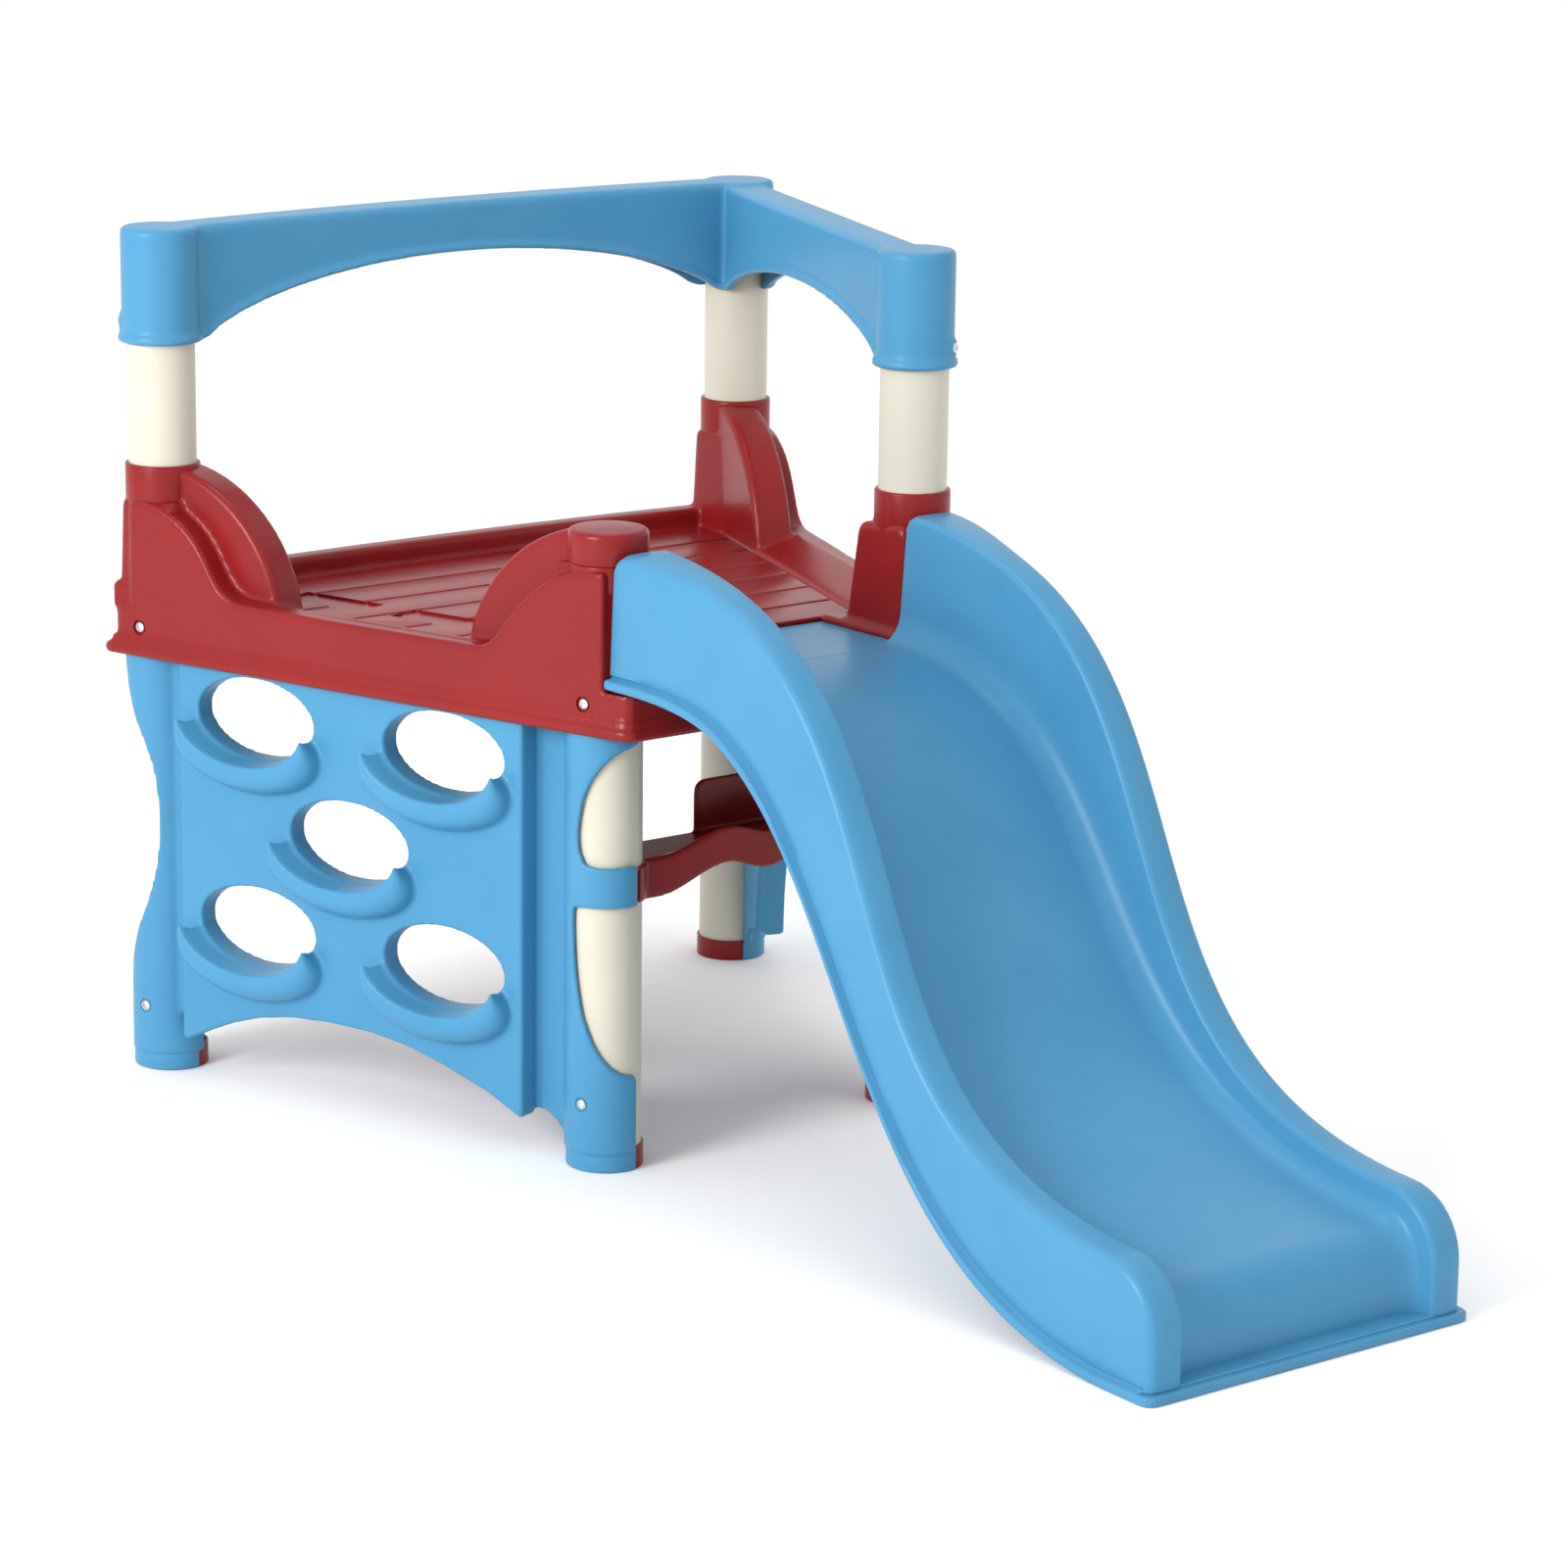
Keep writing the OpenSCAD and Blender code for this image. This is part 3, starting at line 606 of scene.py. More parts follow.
def buildSlide():
    g = slideShape
    rows = slideLines()
    tops, beds, lows = ([row[k] for row in rows] for k in range(3))
    topNormals, bedNormals = slideNormals(tops), slideNormals(beds)
    for i in range(len(g["end"])):
        topNormals[i] = Vector(g["endNormal"])
    sections = [slideSection(*row) for row in zip(tops, topNormals, beds, bedNormals, lows)]
    half = len(sections[0])
    wide = 2 * half - 1
    settle()
    bpy.ops.mesh.primitive_grid_add(x_subdivisions=wide - 1, y_subdivisions=len(sections) - 1, size=1)
    slide = added("slideMoulding")
    for r, section in enumerate(sections):
        for c in range(wide):
            side = -1 if c < half else 1
            y, point = section[abs(c - (half - 1))]
            slide.data.vertices[r * wide + c].co = (midX + point.x, side * y, max(0.0, point.y))
    fixNormals(slide)
    if sum(p.normal.z * p.area for p in slide.data.polygons) < 0:
        slide.data.flip_normals()
    finishWith(slide, "SOLIDIFY", thickness=g["wall"], offset=-1, use_rim=True, use_even_offset=False)
    for vertex in slide.data.vertices:
        vertex.co.z = max(0.0, vertex.co.z)
    shadeSmooth(slide, 50)
    # thin floor of the slide's head, lying on the deck's ledge, and the lip along the ground
    shift = Vector((midX, 0, 0))
    extras = [box("slideHead", Vector(g["headLow"]) + shift, Vector(g["headHigh"]) + shift, 0.0012, 2)]
    for toe, side, high, edge in g["toeLips"]:
        line = roundedOutline(rectangle(g["toeBack"], -side, toe, side), g["toeCorner"])
        extras.append(cutShape("toeLip", line, high, flatFrame(0), edge, 4))
    slide = joined("slideMoulding", slide, *extras)
    deliver(slide, slideFinish, "slide_blue", "slide")
    print("slide", len(slide.data.polygons), "faces")


buildSlide()


# ---- deck ----

deckShape = {
    "frontX": 0.312, "backX": -0.274, "bow": 0.020, "out": 0.038, "lip": 0.007,
    "cornerRadius": 0.014, "wallIn": 0.014, "clearHalf": 0.139,
    "wallTop": [(-0.012, 0.540), (-0.011, 0.562), (-0.004, 0.567), (0.010, 0.5665), (0.0242, 0.5634),
                (0.0454, 0.5544), (0.063, 0.5419), (0.0772, 0.5259), (0.0878, 0.5093), (0.0984, 0.4940),
                (0.110, 0.4855), (0.1267, 0.4820), (0.182, 0.481), (0.250, 0.480), (0.311, 0.480),
                (0.372, 0.480), (0.400, 0.480), (0.416, 0.4825), (0.4295, 0.4925), (0.4456, 0.5134),
                (0.467, 0.5347), (0.4885, 0.5514), (0.5153, 0.562), (0.535, 0.565), (0.552, 0.5665)],
    "wallFoot": [(-0.026, 0.457), (0.020, 0.457), (0.020, 0.482), (-0.020, 0.4695), (-0.026, 0.4672)],
    "finRadius": 0.156, "finCentre": 0.444, "finIn": -0.027, "finThick": 0.040, "finFoot": 0.456,
    "blockPlan": [(-0.0205, -0.0470), (0.0500, -0.0232), (0.0440, 0.0440), (-0.0260, 0.0440)],
    "blockTop": 0.567, "blockTaper": 0.86, "bead": 0.003, "beadHigh": 0.0165,
    "frontBlock": [(0.188, 0.440), (0.2845, 0.440), (0.2845, 0.573), (0.214, 0.566), (0.199, 0.480)],
    "headFrom": 0.166,        # the slide's head lies on the deck from here on
    "plankPitch": 0.060, "plankGap": 0.0032, "plankFront": 0.170,
    "slots": (0.092, 0.224), "slotLength": 0.096, "slotOut": (-0.104, -0.066),
    "grain": 0.0024, "passes": 5, "keep": 0.45,
}


def halfWidth(x, out):
    return (backY + frontY) / 2 - x * math.tan(sideTurn) + out / math.cos(sideTurn)


# a smooth line through points
def smoothLine(points, steps=4):
    result = []
    last = len(points) - 1
    for i in range(last):
        a, b, c, d = (Vector(points[min(last, max(0, i + k))]) for k in (-1, 0, 1, 2))
        for k in range(steps):
            t = k / steps
            curve = (2 * a - 5 * b + 4 * c - d) * t * t + (3 * b - a - 3 * c + d) * t ** 3
            result.append(tuple(0.5 * (2 * b + (c - a) * t + curve)))
    result.append(tuple(points[-1]))
    return result


def deckPlan(out, front, back):
    bow = deckShape["bow"]
    h = halfWidth(back, out)
    line = [(back - bow * (1 - (1 - i / 12) ** 2), h * (1 - i / 12)) for i in range(25)]
    return [(front, -halfWidth(front, out)), (front, halfWidth(front, out))] + line


# quarter-round fin: from the collar down to the floor, at one end of a side
def finOutline(atBack):
    g = deckShape
    sweep = math.pi / 2 - math.asin((g["finFoot"] - g["finCentre"]) / g["finRadius"])
    angles = [sweep * i / 20 for i in range(21)]
    arc = [(g["finRadius"] * math.sin(a), g["finCentre"] + g["finRadius"] * math.cos(a)) for a in angles]
    line = [(0.0, g["finFoot"])] + arc
    return line if atBack else [(sideLength - s, z) for s, z in line]


# frame across a side: a runs outwards, b up, the depth along the side from s on
def acrossFrame(right, s):
    flip = -1 if right else 1
    n = Vector((outward.x, outward.y * flip, 0))
    u = Vector((along.x, along.y * flip, 0))
    origin = Vector((midX + backX, -backY * flip, 0)) + u * s
    return Matrix(((n.x, 0, u.x, origin.x), (n.y, 0, u.y, origin.y), (0, 1, 0, 0), (0, 0, 0, 1)))


# a hand slot beside the climbing wall, through floor and planks
def slotCutter(s):
    g = deckShape
    inner, outer = g["slotOut"]
    line = rectangle(s, 0.4, s + g["slotLength"], 0.5)
    return cutShape("slot", line, outer - inner, sideFrame(False, inner))


# wall, fins and corner blocks of one side
def deckSideBodies(right, blockLine):
    g = deckShape
    low = layout["skirtLow"]
    wall = [(g["wallTop"][k][0], low + 0.004) for k in (-1, 0)] + smoothLine(g["wallTop"])
    bodies = [cutShape("sideWall", wall, g["out"] - g["wallIn"], sideFrame(right, g["wallIn"]), 0.0075, 4)]
    for atBack in (True, False):
        inside = 0.0 if right and not atBack else g["finIn"]
        thick = g["finIn"] + g["finThick"] - inside
        bodies.append(cutShape("fin", finOutline(atBack), thick, sideFrame(right, inside), 0.006, 4))
    bodies.append(cutShape("wallFoot", g["wallFoot"], 0.470, acrossFrame(right, 0.030)))
    flip = -1 if right else 1
    plan = [(backX + x, flip * (y - backY)) for x, y in g["blockPlan"]]
    bodies.append(cutShape("backBlock", roundedOutline(plan, 0.012), g["blockTop"] - low - 0.002,
                           flatFrame(low + 0.002), 0.0065, 4, g["blockTaper"], (backX, -flip * backY)))
    base = cutShape("frontBlock", roundedOutline(g["frontBlock"], 0.013), 0.110, lengthFrame(g["clearHalf"]),
                    0.006, 4)
    trim = cutShape("planTrim", blockLine, 0.4, flatFrame(0.3))
    finishWith(base, "BOOLEAN", operation="INTERSECT", object=trim, solver="EXACT")
    bpy.data.objects.remove(trim)
    toe = [(g["plankFront"] - 0.002, g["clearHalf"] - 0.010), (0.280, g["clearHalf"] - 0.006),
           (0.280, g["clearHalf"] + 0.020), (g["plankFront"] - 0.002, g["clearHalf"] + 0.020)]
    toe = cutShape("blockToe", roundedOutline(toe, 0.008), 0.0090, flatFrame(0.4600), 0.0035, 3)
    for piece in (base, toe):
        if not right:
            piece.data.transform(Matrix.Scale(-1, 4, (0, 1, 0)))
            fixNormals(piece)
        bodies.append(piece)
    return bodies


def deckBodies():
    g = deckShape
    low = layout["skirtLow"]
    plan = roundedOutline(deckPlan(g["out"], g["frontX"], g["backX"]), g["cornerRadius"])
    inner = roundedOutline(deckPlan(g["out"] - 0.007, g["frontX"] - 0.007, g["backX"] + 0.007), 0.008)
    lipPlan = roundedOutline(deckPlan(g["out"] + g["lip"], g["frontX"] + g["lip"], g["backX"] - g["lip"]),
                             g["cornerRadius"] + 0.005)
    skirt = cutShape("skirt", plan, 0.046, flatFrame(low + 0.003), 0.002)
    cutAway(skirt, cutShape("skirtInside", inner, 0.060, flatFrame(low - 0.016)))
    ahead = rectangle(g["headFrom"], -0.3, 0.4, 0.3)
    cutAway(skirt, cutShape("skirtFront", ahead, 0.1, flatFrame(0.4563)))
    lip = cutShape("skirtLip", lipPlan, 0.0105, flatFrame(low), 0.0030, 4)
    beadPlan = roundedOutline(deckPlan(g["out"] + g["bead"], g["frontX"] + g["bead"], g["backX"] - g["bead"]),
                              g["cornerRadius"] + 0.002)
    bead = cutShape("skirtBead", beadPlan, g["beadHigh"], flatFrame(low + 0.001), 0.0016, 3)
    for ring in (lip, bead):
        cutAway(ring, cutShape("lipInside", inner, 0.040, flatFrame(low - 0.016)))
    floor = cutShape("floorPlate", inner, 0.0055, flatFrame(0.4560))
    cutAway(floor, cutShape("floorFront", ahead, 0.1, flatFrame(0.42)))
    for s in g["slots"]:
        cutAway(floor, slotCutter(s))
    ledge = cutShape("frontLedge", rectangle(0.150, -0.186, 0.306, 0.186), 0.0042, flatFrame(0.4520))
    bodies = [skirt, lip, bead, floor, ledge]
    blockLine = deckPlan(g["wallIn"] + 0.008, g["frontX"], g["backX"])
    for right in (False, True):
        bodies += deckSideBodies(right, blockLine)
    back = deckPlan(g["out"], 0, g["backX"])[2:]
    inside = [(x + 0.026, y * 0.97) for x, y in back]
    bodies.append(cutShape("backRim", back + inside[::-1], 0.030, flatFrame(0.456), 0.006, 4))
    for place in corners.values():
        bodies.append(tube("collarCore", place, 0.0345, low + 0.002, 0.564, 0.002))
    return bodies


def buildDeck():
    g = deckShape
    deck = fuse("deckMoulding", deckBodies(), g["grain"], g["passes"], g["keep"])
    for right in (False, True):
        for s in (0.0, sideLength):
            seat = ellipse((s, layout["deckScrewZ"]), 0.0075, 0.0075, steps=24)
            cutAway(deck, cutShape("deckSeat", seat, 0.010, sideFrame(right, 0.0354)))
    extras = []
    front = g["plankFront"]
    while front > g["backX"] + 0.050:
        back = max(front - g["plankPitch"] + g["plankGap"], g["backX"] + 0.012)
        a, b = halfWidth(front, -0.030), halfWidth(back, -0.030)
        line = roundedOutline([(front, -a), (front, a), (back, b), (back, -b)], 0.005)
        nose = 0.0042 if front == g["plankFront"] else 0.0026
        plank = cutShape("plank", line, 0.0060, flatFrame(0.4605), nose, 4)
        for s in g["slots"]:
            cutAway(plank, slotCutter(s))
        extras.append(plank)
        front -= g["plankPitch"]
    ledge = rectangle(0.160, -0.137, 0.310, 0.137)
    extras.append(cutShape("bedLedge", ledge, 0.002, flatFrame(0.4562), 0.0005, 2))
    for name, place in corners.items():
        top = layout["capLow"] - 0.0003 if name == "frontLeft" else layout["collarTop"]
        collar = tube("collar", place, 0.0360, 0.545, top, 0.0016)
        cutAway(collar, tube("collarBore", place, 0.0328, 0.540, 0.640))
        extras.append(collar)
    deck = joined("deckMoulding", deck, *extras)
    shadeSmooth(deck, 45)
    deliver(deck, redFinish, "deck_red", "deck")
    print("deck", len(deck.data.polygons), "faces")


buildDeck()


# ---- climbing panel ----

climbShape = {
    "top": 0.424, "fieldOut": 0.036, "fieldThick": 0.022, "fieldStart": 0.046, "fieldEnd": 0.460,
    "legRadius": 0.039,
    "legEdge": [(-0.029, 0.411), (-0.012, 0.363), (0.012, 0.308), (0.017, 0.240), (0.009, 0.185),
                (-0.011, 0.137), (-0.022, 0.100), (-0.024, 0.060)],
    "arch": [(0.460, 0.035), (0.420, 0.054), (0.360, 0.073), (0.320, 0.082), (0.278, 0.087), (0.230, 0.0875),
             (0.181, 0.084), (0.140, 0.076), (0.107, 0.065), (0.075, 0.051), (0.045, 0.036)],
    "holes": [(0.142, 0.373), (0.368, 0.373), (0.255, 0.270), (0.142, 0.168), (0.368, 0.168)],
    "holeHalf": (0.071, 0.0385), "footholdOut": 0.022, "footholdDeep": 0.006,
    "footholdBase": (-0.003, -0.032, 0.084, 0.040),     # centre and half axes where it leaves the field
    "footholdRim": (-0.007, -0.012, 0.077, 0.042),
    "scoopPivot": (0.071, 0.030), "scoopGrowth": 1.09,
    "scallopHigh": [(0.600, 0.418), (0.580, 0.411), (0.560, 0.398), (0.545, 0.380), (0.533, 0.358),
                    (0.526, 0.330), (0.526, 0.308), (0.530, 0.299), (0.540, 0.292), (0.600, 0.292)],
    "scallopLow": [(0.600, 0.252), (0.527, 0.252), (0.519, 0.246), (0.519, 0.225), (0.521, 0.199),
                   (0.525, 0.175), (0.531, 0.150), (0.543, 0.122), (0.5535, 0.105), (0.562, 0.095),
                   (0.572, 0.089), (0.600, 0.086)],
    "webFoot": [(0.090, 0.040), (0.066, 0.041), (0.054, 0.036), (0.045, 0.028), (0.039, 0.020),
                (0.034, 0.016)],
    "behind": 0.0035, "feet": 0.016,       # the shells start this far out and this high
    "grain": 0.0021, "passes": 5, "keep": 0.75,
}


# takes off what lies further in than a shell reaches
def trimBehind(piece, right, s, low, high, out):
    line = rectangle(s - 0.1, low, s + 0.1, high)
    cutAway(piece, cutShape("behind", line, 0.1, sideFrame(right, out - 0.1)))


# half shell of a panel round a post at s, on the outer side, and the web that joins it to the field
def wrapShell(right, s, inward):
    g = climbShape
    low, high = g["feet"], g["top"]
    place = sidePoint(right, s, 0, 0)
    shell = tube("wrap", place, g["legRadius"], low, high, 0.003, 3)
    cutAway(shell, tube("wrapBore", place, layout["postRadius"] + 0.0006, low - 0.01, high + 0.01))
    trimBehind(shell, right, s, low - 0.02, high + 0.02, g["behind"])
    web = [(s + inward * a, b) for a, b in smoothLine(g["webFoot"], 3)]
    web += [(s + inward * 0.034, high), (s + inward * 0.090, high)]
    return [shell, cutShape("web", web, 0.0075, sideFrame(right, g["behind"]), 0.0016, 2)]


# half cup of a panel round a foot
def footWrap(right, s):
    place = sidePoint(right, s, 0, 0)
    cup = tube("footWrap", place, 0.0372, 0.0006, 0.0195, 0.0012)
    cutAway(cup, tube("footBore", place, 0.0352, -0.01, 0.030))
    trimBehind(cup, right, s, -0.02, 0.04, climbShape["behind"])
    return cup


# a domed lip under a climbing hole, hollowed so that it widens outwards
def foothold(s, z):
    g = climbShape
    low = g["fieldOut"] - g["footholdDeep"]
    rings = []
    for k in range(12):
        a = math.radians(90 * max(0, k - 1) / 10)
        out = low if k == 0 else g["fieldOut"] - 0.0005 + g["footholdOut"] * math.sin(a)
        mix = [p + (q - p) * (1 - math.cos(a)) for p, q in zip(g["footholdBase"], g["footholdRim"])]
        line = ellipse((s + mix[0], z + mix[1]), mix[2], mix[3], steps=72)
        rings.append([sidePoint(False, p[0], out, p[1]) for p in line])
    body = loft("foothold", rings)
    hole = ellipse((s, z), *g["holeHalf"], steps=72)
    deep = g["footholdOut"] + 2 * g["footholdDeep"]
    cutAway(body, cutShape("scoop", hole, deep, sideFrame(False, low - 0.001), taper=g["scoopGrowth"],
                           pivot=(s + g["scoopPivot"][0], z + g["scoopPivot"][1])))
    return body


def screwSeats(panel, right):
    for s in (0.0, sideLength):
        line = ellipse((s, layout["panelScrewZ"]), 0.0068, 0.0068, steps=24)
        cutAway(panel, cutShape("screwSeat", line, 0.010, sideFrame(right, climbShape["legRadius"] - 0.0015)))


# the field of a side panel, with its outline and the thickness that both panels share
def panelField(right, line, sharper=25):
    g = climbShape
    return cutShape("field", roundedOutline(line, 0.004, sharper), g["fieldThick"],
                    sideFrame(right, g["fieldOut"] - g["fieldThick"]), 0.004, 3)


def finishPanel(name, panel, right, node):
    screwSeats(panel, right)
    panel = joined(name, panel, *[footWrap(right, s) for s in (0.0, sideLength)])
    shadeSmooth(panel, 45)
    deliver(panel, blueFinish, "panel_blue", node)
    print(name, len(panel.data.polygons), "faces")


def buildClimbingPanel():
    g = climbShape
    field = panelField(False, [(g["fieldStart"], g["top"]), (g["fieldEnd"], g["top"])] + g["arch"])
    bodies = [field]
    legEdge = smoothLine([(-0.039, g["top"])] + g["legEdge"] + [(-0.024, 0.020)])
    leg = tube("leg", corners["backLeft"], g["legRadius"], g["feet"], g["top"], 0.003, 3)
    outside = [(-0.2, g["top"] + 0.05)] + [(s - 0.0005, z) for s, z in legEdge] + [(-0.2, 0.0)]
    cutAway(leg, cutShape("waist", outside, 0.2, sideFrame(False, -0.1)))
    trimBehind(leg, False, 0.0, -0.02, 0.5, -0.004)
    spigot = tube("spigot", corners["backLeft"], layout["postRadius"] - 0.002, 0.0042, 0.054, 0.001)
    bodies += [leg, spigot]
    web = [(0.010, 0.060), (0.060, 0.060), (0.060, g["top"]), (0.020, g["top"])]
    bodies.append(cutShape("web", web, 0.018, sideFrame(False, 0.006), 0.002, 2))
    wrap, web = wrapShell(False, sideLength, -1)
    for line in (g["scallopHigh"], g["scallopLow"]):
        cutAway(wrap, cutShape("scallop", smoothLine(line), 0.2, sideFrame(False, -0.1)))
    bodies += [wrap, web]
    for s, z in g["holes"]:
        hole = ellipse((s, z), *g["holeHalf"], steps=72)
        cutAway(field, cutShape("hole", hole, 0.15, sideFrame(False, -0.02)))
        bodies.append(foothold(s, z))
    panel = fuse("climbingPanelMoulding", bodies, g["grain"], g["passes"], g["keep"])
    finishPanel("climbingPanelMoulding", panel, False, "climbing_panel")


buildClimbingPanel()


# ---- guard rail ----

railShape = {
    "top": 0.826, "low": 0.716, "width": 0.045, "lip": 0.0042, "lipHigh": 0.006, "skin": 0.004,
    "backApex": 0.777, "sideApex": 0.759, "bow": 0.020, "capRadius": 0.0368, "flangeRadius": 0.0405,
    "sideFall": 0.0035, "bore": 0.0327, "grain": 0.0025, "passes": 4,
}


def archHeight(s, length, apex):
    low = railShape["low"]
    t = (s - length / 2) / (length / 2 - 0.040)
    return low if abs(t) >= 1 else low + (apex - low) * (1 - t * t) ** 0.7


# one span between two posts, as rings along its length; the back one is bowed outwards
def span(name, back, half, low, high, edge=0.0, steps=64):
    g = railShape
    length = 2 * backY if back else sideLength
    rings = []
    for i in range(steps + 1):
        t = length * i / steps
        ring = []
        for a, z in ((-half, low(t)), (half, low(t)), (half, high), (-half, high)):
            if back:
                bow = g["bow"] * (1 - (t / backY - 1) ** 2)
                ring.append(Vector((midX + backX - bow + a, t - backY, z)))
            else:
                ring.append(sidePoint(True, t, a, z))
        rings.append(ring)
    return loft(name, rings, edge)


def spanLip(name, back, half, low):
    g = railShape
    lip = span(name, back, half, low, g["top"] - 0.010)
    above = span("above", back, half + 0.01, lambda t: low(t) + g["lipHigh"], g["top"])
    cutAway(lip, above)
    roundEdges(lip, 0.0020, 3)
    return lip


def railScrewPlaces():
    turn = (math.pi / 2 - sideTurn) / 2
    headings = {"backLeft": -turn, "backRight": math.pi + turn, "frontRight": math.pi / 2 + turn}
    return [(corners[name], Vector((math.sin(a), -math.cos(a), 0))) for name, a in headings.items()]


# a round stub from a post outwards
def stub(name, place, heading, low, high, radius, edge=0.0):
    settle()
    centre = Vector((place[0], place[1], layout["railScrewZ"])) + heading * (low + high) / 2
    bpy.ops.mesh.primitive_cylinder_add(vertices=32, radius=radius, depth=high - low, location=centre,
                                        rotation=heading.to_track_quat("Z", "Y").to_euler())
    piece = added(name)
    bpy.ops.object.transform_apply(location=True, rotation=True, scale=True)
    if edge:
        roundEdges(piece, edge, 3)
    return piece


def buildGuardRail():
    g = railShape
    places = [corners[name] for name in ("backLeft", "backRight", "frontRight")]
    half = g["width"] / 2

    def backLow(t):
        return archHeight(t, 2 * backY, g["backApex"])

    def sideLow(t):
        return archHeight(t, sideLength, g["sideApex"])

    bodies = [
        span("backSpan", True, half, backLow, g["top"], 0.005),
        spanLip("backLip", True, half + g["lip"], backLow),
        span("sideSpan", False, half, sideLow, g["top"] - g["sideFall"], 0.005),
        spanLip("sideLip", False, half + g["lip"], sideLow),
    ]
    for place in places:
        bodies.append(tube("railCap", place, g["capRadius"], g["low"], g["top"], 0.0045, 4))
        bodies.append(tube("capFlange", place, g["flangeRadius"], g["low"], g["low"] + 0.008, 0.0025, 3))
    for place, heading in railScrewPlaces():
        bodies.append(stub("screwBoss", place, heading, 0.030, 0.0392, 0.0088, 0.0015))
    rail = fuse("guardRailMoulding", bodies, g["grain"], g["passes"])
    inside = half - g["skin"]
    cutAway(rail, span("backHollow", True, inside, lambda t: backLow(t) - 0.03, g["top"] - g["skin"]))
    cutAway(rail, span("sideHollow", False, inside, lambda t: sideLow(t) - 0.03,
                       g["top"] - g["skin"] - g["sideFall"]))
    for place in places:
        cutAway(rail, tube("capBore", place, g["bore"], 0.690, g["top"] - g["skin"]))
    for place, heading in railScrewPlaces():
        cutAway(rail, stub("screwSeat", place, heading, 0.0376, 0.0480, 0.0066))
    shadeSmooth(rail, 45)
    deliver(rail, blueFinish, "panel_blue", "guard_rail")
    print("guard rail", len(rail.data.polygons), "faces")


buildGuardRail()


# ---- crawl panel ----

crawlShape = {
    "top": 0.424, "low": 0.036, "start": 0.045, "legIn": 0.076, "archTop": 0.300,
    "grain": 0.0024, "passes": 6, "keep": 0.5,
}


def buildCrawlPanel():
    g = crawlShape
    middle = sideLength / 2
    arch = ellipse((middle, g["low"]), middle - g["legIn"], g["archTop"] - g["low"], 0, 180, 40)
    line = [(g["start"], g["low"]), (g["start"], g["top"]), (sideLength - g["start"], g["top"]),
            (sideLength - g["start"], g["low"])] + arch
    bodies = [panelField(True, line, 60)]
    for s, inward in ((0.0, 1), (sideLength, -1)):
        wrap, web = wrapShell(True, s, inward)
        for scallop in (climbShape["scallopHigh"], climbShape["scallopLow"]):
            edge = smoothLine(scallop)
            if s == 0.0:
                edge = [(sideLength - a, b) for a, b in edge]
            cutAway(wrap, cutShape("scallop", edge, 0.2, sideFrame(True, -0.1)))
        cutAway(web, cutShape("archTrim", arch + [(g["legIn"], -0.05), (sideLength - g["legIn"], -0.05)], 0.2,
                              sideFrame(True, -0.1)))
        bodies += [wrap, web]
    panel = fuse("crawlPanelMoulding", bodies, g["grain"], g["passes"], g["keep"])
    finishPanel("crawlPanelMoulding", panel, True, "crawl_panel")


buildCrawlPanel()


# ---- cross beam ----

beamShape = {
    "backX": 0.206, "frontX": 0.266, "shelf": 0.288, "wall": 0.0045, "halfWidth": 0.150,
    "tabHalf": 0.045, "tabTop": 0.338, "grain": 0.0018, "passes": 4, "keep": 0.6,
    "apronLow": 0.250, "apronHigh": 0.288, "waveLow": 0.021, "waveHigh": 0.018,
    "humpEnd": 0.124, "humpRise": 0.078, "dipEnd": 0.046, "dipShare": 0.55,
}


# the apron rises in two humps between the legs
def beamWave(y):
    g = beamShape
    dip = g["dipShare"] * ease((g["dipEnd"] - abs(y)) / g["dipEnd"])
    return ease((g["humpEnd"] - abs(y)) / g["humpRise"]) - dip


def buildCrossBeam():
    g = beamShape
    ys = [g["halfWidth"] * (i / 24 - 1) for i in range(49)]
    apron = ([(y, g["apronLow"] + g["waveLow"] * beamWave(y)) for y in ys]
             + [(y, g["apronHigh"] + g["waveHigh"] * beamWave(y)) for y in reversed(ys)])
    tab = rectangle(-g["tabHalf"], g["shelf"] - 0.02, g["tabHalf"], g["tabTop"])
    bodies = [
        box("beamShelf", (midX + g["backX"], -g["halfWidth"], g["shelf"] - g["wall"]),
            (midX + g["frontX"], g["halfWidth"], g["shelf"]), 0.0012, 2),
        box("backFlange", (midX + g["backX"], -g["halfWidth"], 0.256),
            (midX + g["backX"] + g["wall"], g["halfWidth"], g["shelf"]), 0.0012, 2),
        cutShape("beamApron", apron, g["wall"], crossFrame(g["frontX"] - g["wall"]), 0.0015, 2),
        cutShape("beamTab", roundedOutline(tab, 0.014), g["wall"], crossFrame(g["backX"]), 0.0015, 2),
    ]
    for name in ("frontLeft", "frontRight"):
        collar = tube("beamCollar", corners[name], 0.0368, 0.254, g["shelf"], 0.001)
        side = sideFrame(name == "frontRight", -0.001)
        cutAway(collar, cutShape("collarTrim", rectangle(0.4, 0.2, 0.7, 0.4), 0.1, side))
        bodies.append(collar)
    beam = fuse("crossBeamMoulding", bodies, g["grain"], g["passes"], g["keep"])
    for name in ("frontLeft", "frontRight"):
        cutAway(beam, tube("beamBore", corners[name], 0.0328, 0.20, 0.40))
    shadeSmooth(beam, 45)
    deliver(beam, redFinish, "deck_red", "cross_beam")
    print("cross beam", len(beam.data.polygons), "faces")


buildCrossBeam()


# ---- cap and feet ----

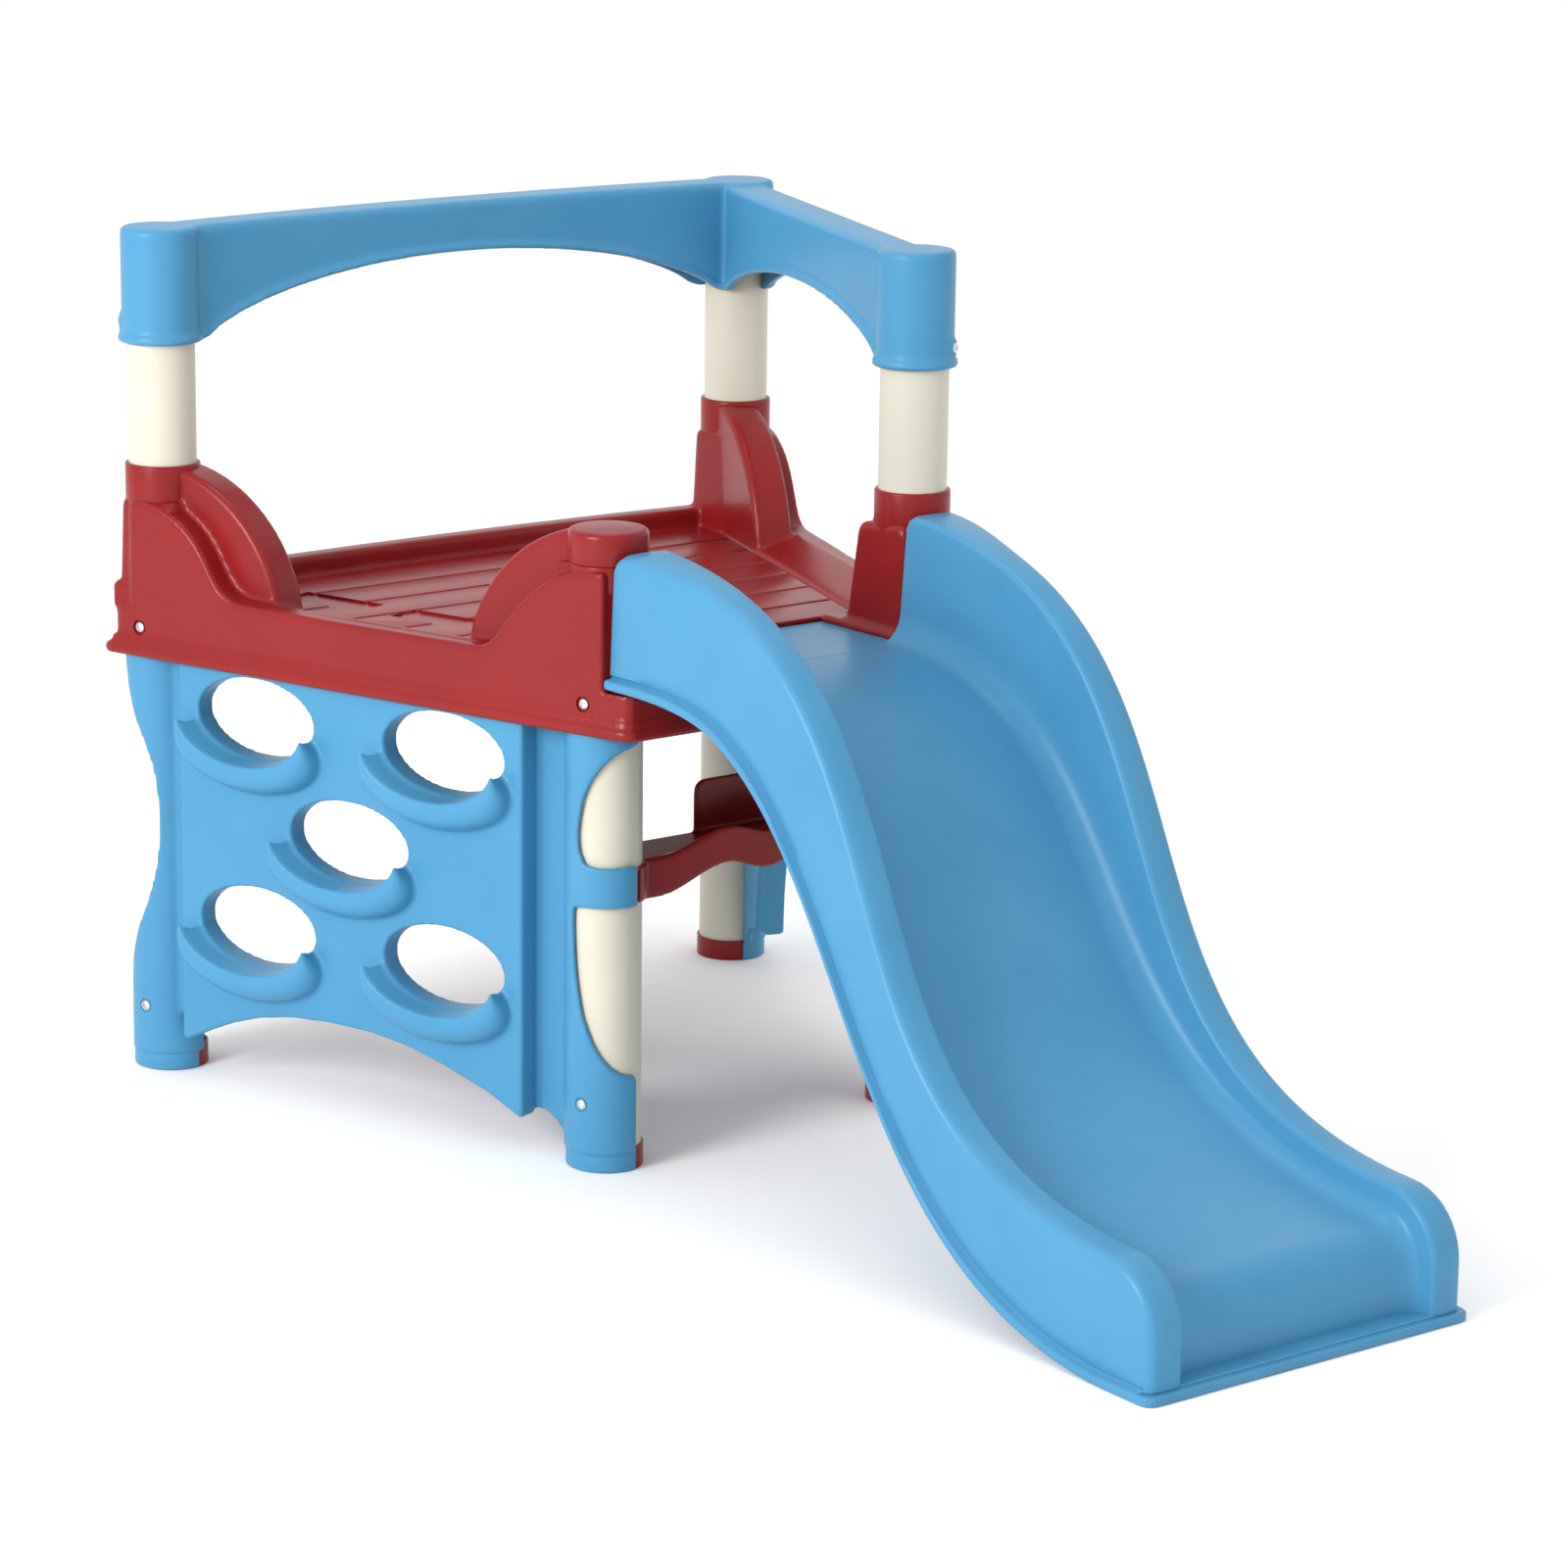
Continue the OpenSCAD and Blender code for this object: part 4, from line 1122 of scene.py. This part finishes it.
def buildCap():
    cap = tube("cornerCapMoulding", corners["frontLeft"], 0.0368, layout["capLow"], layout["collarTop"], 0.0)
    pick(cap)
    bpy.ops.object.mode_set(mode="EDIT")
    bpy.ops.mesh.select_all(action="DESELECT")
    bpy.ops.object.mode_set(mode="OBJECT")
    for polygon in cap.data.polygons:
        polygon.select = polygon.normal.z > 0.9
    bpy.ops.object.mode_set(mode="EDIT")
    bpy.ops.mesh.bevel(offset=0.0055, segments=5, affect="EDGES")
    bpy.ops.object.mode_set(mode="OBJECT")
    roundEdges(cap, 0.0010, 2, 60)
    cutAway(cap, tube("capBore", corners["frontLeft"], 0.0328, 0.5, layout["collarTop"] - 0.004))
    shadeSmooth(cap, 45)
    deliver(cap, redFinish, "deck_red", "corner_cap")


buildCap()

for end, side in (("back", "left"), ("front", "left"), ("front", "right"), ("back", "right")):
    node = f"{end}_{side}_foot"
    foot = copyNode(node, end + side.title() + "FootCup")
    roundEdges(foot, 0.0012, 3, 50)
    shadeSmooth(foot, 40)
    deliver(foot, redFinish, "deck_red", node)


# ---- posts ----

for node in ("back_left_post", "front_left_post", "front_right_post", "back_right_post"):
    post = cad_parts[node]
    post.data.materials.clear()
    post.data.materials.append(creamFinish)


# ---- screws ----

screwShape = {
    "head": 0.0055, "high": 0.0030, "shank": 0.0025,
    "cross": 0.0011, "crossLength": 0.0062, "crossDeep": 0.0017,
    "turn": 0.7,              # between neighbouring crosses
}


def buildScrew():
    g = screwShape
    settle()
    bpy.ops.mesh.primitive_uv_sphere_add(segments=32, ring_count=16, radius=g["head"], location=(0, 0, 0))
    screw = added("screwPattern")
    pick(screw)
    bpy.ops.object.mode_set(mode="EDIT")
    bpy.ops.mesh.select_all(action="SELECT")
    bpy.ops.mesh.bisect(plane_co=(0, 0, 0), plane_no=(0, 0, 1), clear_inner=True, use_fill=True)
    bpy.ops.mesh.select_all(action="SELECT")
    bpy.ops.transform.resize(value=(1, 1, g["high"] / g["head"]), center_override=(0, 0, 0))
    bpy.ops.object.mode_set(mode="OBJECT")
    for angle in (0, math.pi / 2):
        cut = box("recess", (-g["crossLength"] / 2, -g["cross"] / 2, g["high"] - g["crossDeep"]),
                  (g["crossLength"] / 2, g["cross"] / 2, 0.01))
        cut.data.transform(Matrix.Rotation(angle, 4, "Z"))
        cutAway(screw, cut)
    shank = tube("shank", (0, 0), g["shank"], -0.0135, 0.0002, 0.0004, 2, 20)
    screw = joined("screwPattern", screw, shank)
    shadeSmooth(screw, 40)
    return screw


def addScrews(node, name, places):
    screws = []
    for place, heading, turn in places:
        screw = screwPattern.copy()
        screw.data = screwPattern.data.copy()
        bpy.context.scene.collection.objects.link(screw)
        aim = heading.to_track_quat("Z", "Y").to_matrix().to_4x4()
        screw.data.transform(Matrix.Translation(place) @ aim @ Matrix.Rotation(turn, 4, "Z"))
        screws.append(screw)
    deliver(joined(name, *screws), zincFinish, "screw_steel", node)


def sideScrews(z, out, turn):
    places = []
    for right in (False, True):
        heading = Vector((outward.x, outward.y * (-1 if right else 1), 0))
        for k, s in enumerate((0.0, sideLength)):
            places.append((sidePoint(right, s, out, z), heading, turn + screwShape["turn"] * k))
    return places


screwPattern = buildScrew()
railPlaces = [(Vector((*place, layout["railScrewZ"])) + heading * 0.0378, heading, 0.4)
              for place, heading in railScrewPlaces()]
beamPlaces = [(Vector((midX + frontX, side * (frontY - 0.0368), layout["beamScrewZ"])),
               Vector((0, -side, 0)), 0.2) for side in (-1, 1)]
addScrews("rail_screws", "railScrews", railPlaces)
addScrews("deck_screws", "deckScrews", sideScrews(layout["deckScrewZ"], 0.0362, 0.3))
addScrews("panel_screws", "panelScrews", sideScrews(layout["panelScrewZ"], 0.0378, 0.5))
addScrews("beam_screws", "beamScrews", beamPlaces)
bpy.data.objects.remove(screwPattern)
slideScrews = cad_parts["slide_screws"]
slideScrews.data.materials.clear()
slideScrews.data.materials.append(zincFinish)
